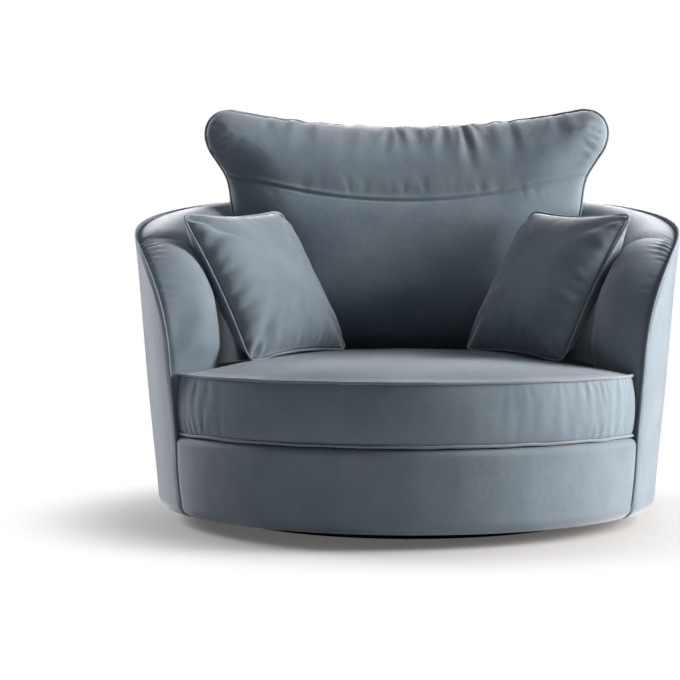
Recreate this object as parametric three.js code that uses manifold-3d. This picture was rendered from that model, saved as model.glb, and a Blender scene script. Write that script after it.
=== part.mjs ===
// A round swivel cuddle chair: a drum-shaped upholstered tub that turns on a ball bearing over a black
// plinth, with a loose T-shaped seat cushion, a flared back cushion and two scatter cushions.
// Millimetres, +Z up. The front faces -Y, and the origin is on the swivel axis at the floor.
// Angles round the tub are counted in degrees from the rear (+Y) towards +X.
import * as THREE from "three";
import { mergeVertices } from "three/addons/utils/BufferGeometryUtils.js";
import Module from "manifold-3d";

const wasm = await Module();
wasm.setup();

// Clearances
const seatGap = 0.3; // between two pieces that rest on each other
const cutOverrun = 6; // how far a cutter runs past the faces it cuts
const joinOverlap = 1; // how far a joined shape reaches into the piece that carries it
const weldDistance = 0.002; // vertices closer than this are one vertex

// Plinth that stands on the floor
const glideHeight = 3.7;
const glideRadius = 9;
const glideShankRadius = 1.5;
const glideShankLength = 14;
const glideCount = 6;
const plinthReveal = 171; // from the outer cover's radius at the floor in to the plinth
const plinthWall = 20;
const plinthHeight = 40;
const plinthLedge = 10; // width of the ledge that carries the board
const plinthBoardThickness = 16;
const centreFootRadius = 48;

// Swivel bearing
const bearingPlateSide = 300;
const bearingPlateThickness = 3;
const raceRadius = 120;
const raceLip = 4; // radial thickness of each lip beside the balls
const raceLipHeight = 3;
const ballRadius = 4.5;
const ballCount = 10;
const cageThickness = 2;
const cageWidth = 16;
const screwRadius = 2.4;
const screwLength = 14;
const screwHeadRadius = 5;
const screwHeadHeight = 3;
const screwInset = 18; // from a plate's edges to a screw
const upperScrewTurnDeg = 45; // the upper plate is set on the skew to the lower one

// Outline of the tub
const footRadius = 616; // the outer cover's radius, carried down to the floor
const flareShare = 0.09; // how far the wall leans out for each unit of height
const skirtZ = 34.5; // underside of the upholstery
const skirtCurl = 34; // radius of the rounded lower edge
const skirtLip = 22; // how far the cloth turns in underneath
const coverThickness = 8; // cloth, wadding and board of the covers
const padDepth = 141; // padded wall, measured inwards from the outer cover
const armHeight = 691;
const backHeight = 819;
const rimFallShare = 0.9; // the rim reaches the arm height at a right angle over this
const rimPower = 0.8;
const frontEdgeDeg = 120;
const cornerStartDeg = 95;
const cornerFootZ = 500; // where the rounded front top of an arm meets its upright edge
const bullnoseLength = 110; // how far back the rounded front of an arm runs
const rollHeight = 85; // how far down the rounded top runs
const paddingPower = 2.2;
const columnStepDeg = 10;
const cornerSteps = 8;
const rollSteps = 5;
const wallSteps = 4;
const curlSteps = 4;
const pipingRadius = 4;
const pipingSides = 5;

// Timber frame inside the tub
const baseBoardThickness = 18;
const baseBoardInset = 16; // from the outer cover's radius at the floor
const accessHoleRadius = 45;
const hoopWidth = 34;
const dustCoverThickness = 1.5;
const postSide = 45;
const postCount = 6;
const postInset = 62; // from the outer cover's radius to a post's centre
const deckRingTop = 213;
const deckRingThickness = 18;
const deckRingInset = 186; // from the outer cover's radius at the floor to the ring's hole
const ribDepth = 70;
const ribThickness = 18;
const ribTopDepth = 42;
const ribTaperHeight = 110;
const ribAnglesDeg = [-80, -40, 0, 40, 80];
const liningThickness = 4;
const liningDrop = 140; // from the rim to the lining's top edge
const railDrop = 34; // from the rim to the top rail
const railHeight = 22;
const railDepth = 42;
const armPostWidth = 30;
const frontCoverInset = 3; // the front panel lies this far inside the outer cover
const frontStepDeg = 7.5;
const frontCoverCurl = 16;
const frontCoverLip = 26;
const frontRailThickness = 12;

// Seat springs and the platform on them
const springWireRadius = 1.9;
const springHalfWidth = 26;
const springPitch = 42;
const springCorner = 9;
const springSpacingShare = 0.39; // of the deck ring's hole
const springCount = 4;
const springTail = 26;
const springSides = 4;
const clipWidth = 22;
const clipLength = 16;
const clipThickness = 1.5;
const platformThickness = 5;

// Seat cushion
const cushionOverhang = 6; // the cushion's front lies this far outside the outer cover's foot
const cushionClearance = 12.5; // from the padding to the cushion's seams
const cushionCorner = 20;
const cushionSeamRise = 7; // from the underside to the lower seam
const cushionBorder = 141; // from seam to seam
const cushionBulge = 7;
const cushionCrown = 43;
const crownPower = 2.4;

// Back cushion
const backSideRoom = 85; // from the outer cover's radius at the floor to an ear
const backRise = 643; // from the seat to the top of the ears
const backThickness = 256;
const backEdgeWidth = 170; // over which the cushion swells from its edge to its full thickness
const backLeanDeg = 11;
const backFootInset = 294; // from the outer cover's radius to the seam over the seat
const backForward = 150; // how far the ears stand forward of the middle
const backSeamSag = 100;
const backTopDip = 42;
const backSeamDepthShare = 0.2;
const restGap = 0.6; // between a loose cushion's piping and the seat that it stands on

// Scatter cushions
const scatterSide = 404;
const scatterThickness = 150;
const scatterPinch = 20; // how far the middle of each side is drawn in
const scatterInset = 354; // from the outer cover's radius to the middle of its lower edge
const scatterForward = 388; // from the back cushion's seam forward to it
const scatterTurnDeg = 56;
const scatterLeanDeg = 29.5;
const scatterRollDeg = 2.2; // its outer corner stands lower, as the seat falls away there
const scatterSteps = 10;

const turnedSteps = 36; // facets of the large rings inside the tub
const plinthSteps = 48;
const raceSteps = 30; // a whole number for each ball, so that the balls stand at the lips' corners
const screwSteps = 8;
const halfTurnDeg = 180;
const degrees = Math.PI / halfTurnDeg;
const smooth = (x, power) => Math.pow(Math.max(0, 1 - Math.pow(1 - Math.min(1, x), power)), 1 / power);

// Radii and places that follow from the sizes above
const plinthRadius = footRadius - plinthReveal;
const deckRingHole = footRadius - deckRingInset;
const springSpacing = deckRingHole * springSpacingShare;
const cushionFrontRadius = footRadius + cushionOverhang;
const backWidth = 2 * (footRadius - backSideRoom);
const backFootY = footRadius - backFootInset;
const scatterFootX = footRadius - scatterInset;
const scatterFootY = backFootY - scatterForward;

// Heights that follow from the sizes above
const plinthBoardZ = glideHeight + seatGap + plinthHeight - plinthBoardThickness;
const plinthTop = plinthBoardZ + plinthBoardThickness;
const lowerPlateZ = plinthTop + seatGap;
const ballZ = lowerPlateZ + bearingPlateThickness + seatGap + ballRadius;
const upperPlateZ = ballZ + ballRadius + seatGap;
const hoopZ = skirtZ + coverThickness + seatGap;
const baseBoardZ = upperPlateZ + bearingPlateThickness + seatGap;
const baseBoardTop = baseBoardZ + baseBoardThickness;
const deckRingZ = deckRingTop - deckRingThickness;
const springZ = deckRingTop + seatGap + springWireRadius;
const clipTop = springZ + springWireRadius + seatGap + clipThickness;
const platformZ = clipTop + seatGap;
const platformTop = platformZ + platformThickness;
const cushionZ = platformTop + seatGap;
const cushionLowSeamZ = cushionZ + cushionSeamRise;
const cushionTopSeamZ = cushionLowSeamZ + cushionBorder;
const padFootZ = deckRingTop + seatGap;
const padStart = coverThickness + seatGap;
const padBackDepth = ribDepth + liningThickness + 2 * seatGap;
const foamDepth = padDepth - padBackDepth;

const colours = {
  velvet: [0x8b98a3, 0.85, 0],
  piping: [0x7d8a95, 0.85, 0],
  plinth: [0x17181a, 0.5, 0],
  timber: [0xc9a877, 0.75, 0],
  board: [0x9a7b52, 0.85, 0],
  steel: [0xb4b8bd, 0.4, 0.9],
  springSteel: [0x5f6468, 0.45, 0.85],
  nylon: [0xd9d9d2, 0.6, 0],
  felt: [0x3a3c40, 0.95, 0],
};

const chair = new THREE.Group();

function add(name, geometry, [color, roughness, metalness]) {
  const mesh = new THREE.Mesh(geometry, new THREE.MeshStandardMaterial({ color, roughness, metalness }));
  mesh.name = name;
  chair.add(mesh);
  return mesh;
}

// Joins vertices that coincide, drops the triangles that this empties, and turns the faces outwards.
function weld(geometry) {
  const bare = new THREE.BufferGeometry();
  bare.setAttribute("position", geometry.getAttribute("position").clone());
  if (geometry.index) bare.setIndex(geometry.index.clone());
  const merged = mergeVertices(bare, weldDistance);
  const corners = [];
  for (let i = 0; i < merged.index.count; i += 3) {
    const [a, b, c] = [0, 1, 2].map((k) => merged.index.getX(i + k));
    if (a !== b && b !== c && c !== a) corners.push(a, b, c);
  }
  merged.setIndex(corners);
  if (signedVolume(merged) < 0) merged.setIndex(corners.reverse());
  merged.computeVertexNormals();
  return merged;
}

function signedVolume(geometry) {
  const place = geometry.getAttribute("position");
  const [a, b, c] = [new THREE.Vector3(), new THREE.Vector3(), new THREE.Vector3()];
  let sum = 0;
  for (let i = 0; i < geometry.index.count; i += 3) {
    [a, b, c].forEach((v, k) => v.fromBufferAttribute(place, geometry.index.getX(i + k)));
    sum += a.dot(b.cross(c)) / 6;
  }
  return sum;
}

function solidOf(geometry) {
  const welded = weld(geometry);
  const mesh = new wasm.Mesh({
    numProp: 3,
    vertProperties: new Float32Array(welded.getAttribute("position").array),
    triVerts: new Uint32Array(welded.index.array),
  });
  return new wasm.Manifold(mesh);
}

function geometryOf(solid) {
  const mesh = solid.getMesh();
  const geometry = new THREE.BufferGeometry();
  geometry.setAttribute("position", new THREE.BufferAttribute(new Float32Array(mesh.vertProperties), 3));
  geometry.setIndex(new THREE.BufferAttribute(new Uint32Array(mesh.triVerts), 1));
  geometry.computeVertexNormals();
  return geometry;
}

function cut(geometry, ...tools) {
  return geometryOf(tools.reduce((left, tool) => left.subtract(solidOf(tool)), solidOf(geometry)));
}

function join(geometry, ...others) {
  return geometryOf(others.reduce((left, other) => left.add(solidOf(other)), solidOf(geometry)));
}

// Triangulates a closed ring of points that lie in one plane.
function capOf(ring) {
  const normal = new THREE.Vector3();
  ring.forEach((p, i) => normal.add(p.clone().cross(ring[(i + 1) % ring.length])));
  normal.normalize();
  const across = new THREE.Vector3(Math.abs(normal.z) > 0.9 ? 1 : 0, 0, Math.abs(normal.z) > 0.9 ? 0 : 1);
  across.cross(normal).normalize();
  const along = normal.clone().cross(across);
  return THREE.ShapeUtils.triangulateShape(
    ring.map((p) => new THREE.Vector2(p.dot(across), p.dot(along))),
    [],
  );
}

// A closed body through rings that all have the same number of points. A ring of one repeated place is a
// point, and a ring folded flat is an edge, so neither needs a cap.
function loft(rings, { capStart = true, capEnd = true, loop = false } = {}) {
  const size = rings[0].length;
  const corners = [];
  const last = loop ? rings.length : rings.length - 1;
  for (let i = 0; i < last; i++) {
    const next = (i + 1) % rings.length;
    for (let j = 0; j < size; j++) {
      const k = (j + 1) % size;
      const [a, b, c, d] = [i * size + j, i * size + k, next * size + k, next * size + j];
      corners.push(a, b, c, a, c, d);
    }
  }
  const close = (ring, start, flip) =>
    capOf(ring).forEach(([a, b, c]) => corners.push(start + a, start + (flip ? c : b), start + (flip ? b : c)));
  if (capStart && !loop) close(rings[0], 0, true);
  if (capEnd && !loop) close(rings[rings.length - 1], (rings.length - 1) * size, false);
  const geometry = new THREE.BufferGeometry().setFromPoints(rings.flat());
  geometry.setIndex(corners);
  return weld(geometry);
}

// A round tube through points. upright gives, for each point, a direction across the tube.
function tube(points, radius, sides, upright, loop) {
  const rings = points.map((p, i) => {
    const before = points[loop ? (i + points.length - 1) % points.length : Math.max(0, i - 1)];
    const after = points[loop ? (i + 1) % points.length : Math.min(points.length - 1, i + 1)];
    const ahead = after.clone().sub(before).normalize();
    const up = upright[i].clone().addScaledVector(ahead, -upright[i].dot(ahead)).normalize();
    const side = ahead.clone().cross(up);
    return Array.from({ length: sides }, (_, k) => {
      const turn = ((k + 0.5) / sides) * 2 * Math.PI;
      return p
        .clone()
        .addScaledVector(up, radius * Math.cos(turn))
        .addScaledVector(side, radius * Math.sin(turn));
    });
  });
  return loft(rings, { loop });
}

const polar = (radius, angleDeg, z) =>
  new THREE.Vector3(radius * Math.sin(angleDeg * degrees), radius * Math.cos(angleDeg * degrees), z);

// A solid of revolution about Z from [radius, height] pairs that start and end on the axis or close up.
function turned(profile, segments) {
  const geometry = new THREE.LatheGeometry(
    profile.map(([radius, z]) => new THREE.Vector2(radius, z)),
    segments,
  );
  return geometry.rotateX(Math.PI / 2);
}

const ringProfile = (inner, outer, low, high) => [
  [inner, low],
  [outer, low],
  [outer, high],
  [inner, high],
  [inner, low],
];

// A block standing at height z.
const box = (width, depth, height, x, y, z) =>
  new THREE.BoxGeometry(width, depth, height).translate(x, y, z + height / 2);

const pin = (radius, low, high, x, y, segments) =>
  new THREE.CylinderGeometry(radius, radius, high - low, segments)
    .rotateX(Math.PI / 2)
    .translate(x, y, (low + high) / 2);

// Shape of the tub
const outerRadius = (z) => footRadius + flareShare * z;

function rimZ(angleDeg) {
  const angle = Math.abs(angleDeg);
  const fall = Math.pow(Math.max(0, Math.cos(rimFallShare * angle * degrees)), rimPower);
  const rim = armHeight + (backHeight - armHeight) * fall;
  if (angle <= cornerStartDeg) return rim;
  const along = Math.min(1, (angle - cornerStartDeg) / (frontEdgeDeg - cornerStartDeg));
  return cornerFootZ + (rim - cornerFootZ) * Math.sqrt(1 - along * along);
}

// Column angles of every curved piece of the tub, so that their facets lie side by side.
function columns(limitDeg = frontEdgeDeg) {
  const half = [];
  for (let a = columnStepDeg / 2; a < cornerStartDeg; a += columnStepDeg) half.push(a);
  const corner = Array.from(
    { length: cornerSteps + 1 },
    (_, k) => cornerStartDeg + (frontEdgeDeg - cornerStartDeg) * Math.sin((k / cornerSteps) * 90 * degrees),
  );
  const all = [...half, ...corner].filter((a) => a <= limitDeg + 1e-6);
  return [...all.map((a) => -a).reverse(), ...all];
}

// How far a chord between two columns falls short of the arc, as a share of the radius.
function chordShare(angleDeg) {
  const all = columns();
  const next = all.findIndex((a) => a > angleDeg);
  return Math.cos(((all[next] - all[next - 1]) / 2) * degrees);
}

// Depth of the padding at a place on the outer cover: nothing at the edge, rounding up to the full depth.
function paddingAt(angleDeg, z) {
  const fromFront = (frontEdgeDeg - Math.abs(angleDeg)) * degrees * outerRadius(z);
  const fromRim = rimZ(angleDeg) - z;
  return padDepth * smooth(fromFront / bullnoseLength, paddingPower) * smooth(fromRim / rollHeight, paddingPower);
}

// Drops below the rim at which the rounded top is cut into rows.
const rollDrops = Array.from({ length: rollSteps + 1 }, (_, k) => {
  const turn = (k / rollSteps) * 90 * degrees;
  return rollHeight * (1 - Math.pow(Math.max(0, Math.cos(turn)), 2 / paddingPower));
});

function padColumn(angleDeg) {
  const rim = rimZ(angleDeg);
  const rollFoot = rim - rollHeight;
  const lower = Array.from({ length: wallSteps }, (_, k) => padFootZ + ((rollFoot - padFootZ) * k) / wallSteps);
  const heights = [...lower, ...rollDrops.map((drop) => rim - drop).reverse()];
  const place = (z, depth) => polar(outerRadius(z) - padStart - depth, angleDeg, z);
  const face = heights.map((z) => place(z, paddingAt(angleDeg, z)));
  const back = heights.map((z) => place(z, Math.max(0, paddingAt(angleDeg, z) - foamDepth)));
  return [...face, ...back.slice(0, -1).reverse()];
}

// Section of a cloth skin that curls under at the foot: points going up its face, then down its back.
function skinSection(radiusOf, thickness, top) {
  const curl = (k, radius) => {
    const turn = (k / curlSteps) * 90 * degrees;
    const centre = skirtZ + skirtCurl;
    return [radiusOf(centre) - skirtCurl + radius * Math.sin(turn), centre - radius * Math.cos(turn)];
  };
  const steps = Array.from({ length: curlSteps + 1 }, (_, k) => k);
  const lipEnd = radiusOf(skirtZ + skirtCurl) - skirtCurl - skirtLip;
  const face = [[lipEnd, skirtZ], ...steps.map((k) => curl(k, skirtCurl)), ...top(0)];
  const inside = [
    [lipEnd, skirtZ + thickness],
    ...steps.map((k) => curl(k, skirtCurl - thickness)),
    ...top(thickness),
  ];
  return [...face, ...inside.reverse()];
}

function outerCover() {
  const rings = columns().map((angle) => {
    const low = skirtZ + skirtCurl;
    const high = rimZ(angle);
    const rows = Array.from({ length: wallSteps }, (_, k) => low + ((high - low) * (k + 1)) / wallSteps);
    const section = skinSection(outerRadius, coverThickness, (depth) =>
      rows.map((z) => [outerRadius(z) - depth, z]),
    );
    return section.map(([radius, z]) => polar(radius, angle, z));
  });
  return loft(rings);
}

// The piping that follows the outer cover's free edge from the foot of one arm to the foot of the other.
function shellPiping() {
  const reach = pipingRadius + seatGap;
  const middle = coverThickness / 2;
  const foot = cornerFootZ;
  const low = skirtZ + skirtCurl;
  const beyond = (z) => frontEdgeDeg + reach / outerRadius(z) / degrees;
  const curlEnd = Array.from({ length: curlSteps }, (_, k) => {
    const turn = ((k + 1) / (curlSteps + 1)) * 90 * degrees;
    return [
      outerRadius(low) - skirtCurl + (skirtCurl - middle) * Math.sin(turn),
      beyond(low),
      low - (skirtCurl - middle) * Math.cos(turn),
    ];
  });
  const upright = Array.from({ length: wallSteps + 1 }, (_, k) => {
    const z = low + ((foot - low) * k) / wallSteps;
    return [outerRadius(z) - middle, beyond(z), z];
  });
  const rim = columns()
    .filter((angle) => angle > 0 && angle < frontEdgeDeg)
    .reverse()
    .map((angle) => {
      const step = 0.5;
      const slope = (rimZ(angle + step) - rimZ(angle - step)) / (2 * step * degrees * outerRadius(armHeight));
      const length = Math.hypot(1, slope);
      const z = rimZ(angle) + reach / length;
      return [outerRadius(z) - middle, angle - (slope * reach) / length / outerRadius(z) / degrees, z];
    });
  const right = [...curlEnd, ...upright, ...rim];
  const all = [...right, ...right.map(([radius, angle, z]) => [radius, -angle, z]).reverse()];
  const points = all.map(([radius, angle, z]) => polar(radius, angle, z));
  const outwards = all.map(([, angle]) => polar(1, angle, 0));
  return tube(points, pipingRadius, pipingSides, outwards, false);
}

// Front panel of the drum, between the two arms.
const frontRadius = (z) => outerRadius(z) - frontCoverInset;
const frontLipRadius = frontRadius(platformTop) - frontCoverCurl - frontCoverLip;

function frontColumns() {
  const beside = (2 * pipingRadius + 2 * seatGap) / frontRadius(skirtZ) / degrees;
  const half = halfTurnDeg - frontEdgeDeg - beside;
  const count = Math.round((2 * half) / frontStepDeg);
  return Array.from({ length: count + 1 }, (_, k) => halfTurnDeg - half + (2 * half * k) / count);
}

function frontCover() {
  const top = (depth) => {
    const radius = frontCoverCurl - Math.min(depth, frontCoverCurl * 0.9);
    const centreZ = platformTop - frontCoverCurl;
    const bend = Array.from({ length: curlSteps + 1 }, (_, k) => {
      const turn = (k / curlSteps) * 90 * degrees;
      return [
        frontRadius(centreZ) - frontCoverCurl + radius * Math.cos(turn),
        centreZ + radius * Math.sin(turn),
      ];
    });
    return [...bend, [frontLipRadius, centreZ + radius]];
  };
  const section = skinSection(frontRadius, coverThickness, top);
  return loft(frontColumns().map((angle) => section.map(([radius, z]) => polar(radius, angle, z))));
}

function frontRail() {
  const low = baseBoardTop + seatGap;
  const high = platformTop - 2 * frontCoverCurl;
  const face = (z) => frontRadius(z) - coverThickness - seatGap;
  const section = [
    [face(low) - frontRailThickness, low],
    [face(low), low],
    [face(high), high],
    [face(high) - frontRailThickness, high],
  ];
  return loft(frontColumns().map((angle) => section.map(([radius, z]) => polar(radius, angle, z))));
}

// A curved rail of the frame that follows the rim.
function rimBand(limitDeg, outerDepth, thickness, lowOf, highOf) {
  const rings = columns(limitDeg).map((angle) => {
    const [low, high] = [lowOf(angle), highOf(angle)];
    const radius = (z, depth) => outerRadius(z) - padStart - outerDepth - depth;
    return [
      polar(radius(low, 0), angle, low),
      polar(radius(high, 0), angle, high),
      polar(radius(high, thickness), angle, high),
      polar(radius(low, thickness), angle, low),
    ];
  });
  return loft(rings);
}

// An upright board of the frame, standing on the deck ring with its face to the outer cover.
function upright(angleDeg, width, depth, topDepth, taper, topZ) {
  const share = chordShare(angleDeg);
  const low = padFootZ;
  const outer = (z) => (outerRadius(z) - coverThickness) * share - seatGap;
  const inner = (z, d) => (outerRadius(z) - padStart - d) * share + seatGap;
  const section = [
    [outer(low), low],
    [outer(topZ), topZ],
    [inner(topZ, topDepth), topZ],
    [inner(topZ - taper, depth), topZ - taper],
    [inner(low, depth), low],
  ];
  const shape = new THREE.Shape(section.map(([radius, z]) => new THREE.Vector2(radius, z)));
  return new THREE.ExtrudeGeometry(shape, { depth: width, bevelEnabled: false })
    .translate(0, 0, -width / 2)
    .rotateX(Math.PI / 2)
    .rotateZ((90 - angleDeg) * degrees);
}

// Plan outline of the seat cushion, following the padding at height z. Half of it is worked out and mirrored.
function cushionOutline(z, frontArc, clearance) {
  const wall = outerRadius(z) - padStart;
  const rear = halfTurnDeg - frontEdgeDeg;
  const sideDeg = rear - clearance / frontArc / degrees;
  const cornerDeg = cushionCorner / frontArc / degrees;
  const frontSteps = 8;
  const cornerPoints = [0, 30, 60, 90].map((turn) => [
    frontArc - cushionCorner * (1 - Math.cos(turn * degrees)),
    sideDeg - cornerDeg * (1 - Math.sin(turn * degrees)),
  ]);
  const front = Array.from({ length: frontSteps }, (_, k) => [
    frontArc,
    ((sideDeg - cornerDeg) * k) / frontSteps,
  ]);
  const noseTurns = [14, 24, 36, 50, 66, 90];
  const nose = noseTurns.map((turn) => {
    const back = Math.pow(Math.max(0, Math.cos(turn * degrees)), 2 / paddingPower);
    const deep = Math.pow(Math.sin(turn * degrees), 2 / paddingPower);
    const slopeBack = -Math.pow(back, paddingPower - 1) / bullnoseLength;
    const slopeDeep = Math.pow(deep, paddingPower - 1) / padDepth;
    const length = Math.hypot(slopeBack, slopeDeep);
    const behind = bullnoseLength * (1 - back) + (clearance * slopeBack) / length;
    return [wall - padDepth * deep - (clearance * slopeDeep) / length, rear + behind / wall / degrees];
  });
  const wallStart = rear + bullnoseLength / wall / degrees;
  const wallCount = 10;
  const inner = Array.from({ length: wallCount }, (_, k) => [
    wall - padDepth - clearance,
    wallStart + ((halfTurnDeg - wallStart) * (k + 1)) / wallCount,
  ]);
  const half = [...front, ...cornerPoints, ...nose, ...inner];
  const place = ([radius, frontDeg]) =>
    new THREE.Vector2(radius * Math.sin(frontDeg * degrees), -radius * Math.cos(frontDeg * degrees));
  const right = half.map(place);
  const left = right
    .slice(1, -1)
    .map((p) => new THREE.Vector2(-p.x, p.y))
    .reverse();
  return [...right, ...left];
}

const cushionCentreY = -60;
const cushionCentre = new THREE.Vector2(0, cushionCentreY);
const lowOutline = cushionOutline(cushionZ, cushionFrontRadius, cushionClearance);
const topOutline = cushionOutline(cushionTopSeamZ, cushionFrontRadius, cushionClearance);

// Outward direction at each point of a plan outline.
function outlineNormals(outline) {
  return outline.map((_, i) => {
    const before = outline[(i + outline.length - 1) % outline.length];
    const after = outline[(i + 1) % outline.length];
    return new THREE.Vector2(after.y - before.y, before.x - after.x).normalize();
  });
}

const crownShares = [1, 0.94, 0.82, 0.62, 0.35, 0];
const crownAt = (share) => cushionCrown * (1 - Math.pow(share, crownPower));

// Height of the cushion's faceted top over a place, so that what lies on it is set down true.
function seatTopAt(x, y) {
  const aim = new THREE.Vector2(x, y).sub(cushionCentre);
  let reach = Infinity;
  topOutline.forEach((p, i) => {
    const a = p.clone().sub(cushionCentre);
    const edge = topOutline[(i + 1) % topOutline.length].clone().sub(p);
    const across = aim.cross(edge);
    if (Math.abs(across) < 1e-9) return;
    const [t, u] = [a.cross(edge) / across, a.cross(aim) / across];
    if (t > 0 && u >= 0 && u <= 1) reach = Math.min(reach, t);
  });
  const share = Math.min(1, 1 / reach);
  const k = crownShares.findIndex((s) => s <= share);
  const [high, low] = [crownShares[Math.max(1, k) - 1], crownShares[Math.max(1, k)]];
  const mix = (high - share) / (high - low);
  return cushionTopSeamZ + crownAt(high) + (crownAt(low) - crownAt(high)) * mix;
}

function seatCushion() {
  const normals = outlineNormals(lowOutline);
  const level = (z, share, mix, bulge) =>
    lowOutline.map((p, i) => {
      const seam = p.clone().lerp(topOutline[i], mix).addScaledVector(normals[i], bulge);
      const at = cushionCentre.clone().lerp(seam, share);
      return new THREE.Vector3(at.x, at.y, z);
    });
  const rings = [level(cushionZ, 0, 0, 0), level(cushionZ, 0.9, 0, 0), level(cushionLowSeamZ, 1, 0, 0)];
  [0.25, 0.5, 0.75].forEach((mix) => {
    const swell = cushionBulge * Math.sin(mix * Math.PI);
    rings.push(level(cushionLowSeamZ + cushionBorder * mix, 1, mix, swell));
  });
  crownShares.forEach((share) => rings.push(level(cushionTopSeamZ + crownAt(share), share, 1, 0)));
  return loft(rings, { capStart: false, capEnd: false });
}

function seatPiping(outline, z) {
  const normals = outlineNormals(outline);
  const reach = pipingRadius + seatGap;
  const points = outline.map((p, i) => new THREE.Vector3(p.x, p.y, z).add(flat(normals[i], reach)));
  return tube(
    points,
    pipingRadius,
    pipingSides,
    points.map(() => new THREE.Vector3(0, 0, 1)),
    true,
  );
}

const flat = (direction, length) => new THREE.Vector3(direction.x * length, direction.y * length, 0);

function platform() {
  const facetShare = Math.cos((frontStepDeg / 2) * degrees);
  const outline = cushionOutline(platformZ, frontLipRadius * facetShare - seatGap, cushionClearance / 2);
  const level = (z) => outline.map((p) => new THREE.Vector3(p.x, p.y, z));
  return loft([level(platformZ), level(platformTop)]);
}

// Back cushion. Its seam plane leans back and curves forward at the sides. The outline's left and right
// sides go through shares of half the width, each at a share of the rise, and the ears stand at the top.
const backSideShares = [
  [0.68, 0],
  [0.76, 0.03],
  [0.785, 0.11],
  [0.79, 0.28],
  [0.8, 0.44],
  [0.86, 0.56],
  [0.876, 0.655],
  [0.895, 0.721],
  [0.94, 0.785],
  [0.982, 0.84],
  [1.0, 0.9],
  [0.985, 0.953],
  [0.945, 0.988],
  [0.885, 1.0],
];
const backSeamRow = 7; // where the front seam leaves the side, counted along the list above
const backSteps = 18;
const lowerRows = 6;
const upperRows = 8;
const backSide = new THREE.SplineCurve(
  backSideShares.map(([across, up]) => new THREE.Vector2((across * backWidth) / 2, up * backRise)),
);

const backPlaneY = (across, up) =>
  backFootY + up * Math.sin(backLeanDeg * degrees) - backForward * Math.pow((2 * across) / backWidth, 2);

// A place on the cushion's seam surface, moved forward by depth.
function backPlace(across, up, depth) {
  const lean = backLeanDeg * degrees;
  return new THREE.Vector3(
    across,
    backPlaneY(across, up) - depth * Math.cos(lean),
    backFootZ + up * Math.cos(lean) + depth * Math.sin(lean),
  );
}

const backSideAt = (row) => backSide.getPoint(row / (backSideShares.length - 1));
const footDropAt = (across) => {
  const y = backPlaneY(across, 0);
  return (seatTopAt(across, y) - seatTopAt(0, backFootY)) / Math.cos(backLeanDeg * degrees);
};
const backFootZ = seatTopAt(0, backFootY) + 2 * pipingRadius + seatGap + restGap;

// Rows of the cushion from its foot to its top edge, each a function from -1..1 to a place in the seam plane.
function backRows() {
  const rows = [];
  const seamRise = (side, a) => side.y - backSeamSag * (1 - a * a);
  for (let k = 0; k < lowerRows; k++) {
    const mix = k / lowerRows;
    const side = backSideAt(mix * backSeamRow);
    rows.push((a) => {
      const sag = -backSeamSag * (1 - a * a) * mix;
      return [a * side.x, side.y + sag + footDropAt(a * side.x) * (1 - mix), mix];
    });
  }
  const top = backSideShares.length - 1;
  for (let k = 0; k <= upperRows; k++) {
    const mix = k / upperRows;
    const side = backSideAt(backSeamRow + (top - backSeamRow) * mix);
    rows.push((a) => {
      const dip = (1 - a * a) * (backSeamSag * (1 - mix) + backTopDip * mix);
      return [a * side.x, mix ? side.y - dip : seamRise(side, a), 1 + mix];
    });
  }
  return rows;
}

// Shortest way from a place to a closed loop, both in the seam plane.
function distanceToLoop(place, loop) {
  const nearest = loop.map((start, i) => {
    const side = loop[(i + 1) % loop.length].clone().sub(start);
    const along = place.clone().sub(start).dot(side) / side.lengthSq();
    return start.clone().addScaledVector(side, Math.min(1, Math.max(0, along))).distanceTo(place);
  });
  return Math.min(...nearest);
}

// Half thickness of the cushion: full in the body, drawn in at the edges and along the front seam.
function backSwell(fromEdge, level, front) {
  const roll = front ? 1 - backSeamDepthShare * Math.exp(-Math.pow((level - 1) / 0.09, 2)) : 1;
  return (backThickness / 2) * smooth(fromEdge / backEdgeWidth, 2) * roll;
}

const backFractions = Array.from({ length: backSteps + 1 }, (_, i) =>
  Math.sin(((2 * i) / backSteps - 1) * 90 * degrees),
);

// Depth that the padded wall leaves behind a place in the seam surface.
function roomBehind(across, up) {
  const seam = backPlace(across, up, 0);
  const facetShare = Math.cos((columnStepDeg / 2) * degrees);
  const wall = (outerRadius(seam.z) - padStart - padDepth) * facetShare - cushionClearance / 2;
  return Math.max(0, Math.sqrt(Math.max(0, wall * wall - across * across)) - seam.y);
}

function backCushion() {
  const rows = backRows().map((row) => backFractions.map(row));
  const edge = borderOf(rows).map(([across, up]) => new THREE.Vector2(across, up));
  const face = (front) =>
    rows.map((row) =>
      row.map(([across, up, level]) => {
        const fromEdge = distanceToLoop(new THREE.Vector2(across, up), edge);
        const swell = backSwell(fromEdge, level, front);
        return backPlace(across, up, front ? swell : -Math.min(swell, roomBehind(across, up)));
      }),
    );
  return pillow(face(true), face(false));
}

// A closed cushion from two grids of places that share their border.
function pillow(front, back) {
  const [rows, size] = [front.length, front[0].length];
  const corners = [];
  const sheet = (start, flip) => {
    for (let r = 0; r < rows - 1; r++)
      for (let c = 0; c < size - 1; c++) {
        const [p, q] = [start + r * size + c, start + (r + 1) * size + c];
        const faces = [p, p + 1, q + 1, p, q + 1, q];
        corners.push(...(flip ? faces.reverse() : faces));
      }
  };
  sheet(0, false);
  sheet(rows * size, true);
  const geometry = new THREE.BufferGeometry().setFromPoints([...front.flat(), ...back.flat()]);
  geometry.setIndex(corners);
  return weld(geometry);
}

// Border of a grid of rows, as one loop.
function borderOf(rows) {
  const right = rows.slice(1, -1).map((row) => row[row.length - 1]);
  const left = rows.slice(1, -1).map((row) => row[0]);
  return [...rows[0], ...right, ...rows[rows.length - 1].slice().reverse(), ...left.reverse()];
}

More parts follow.
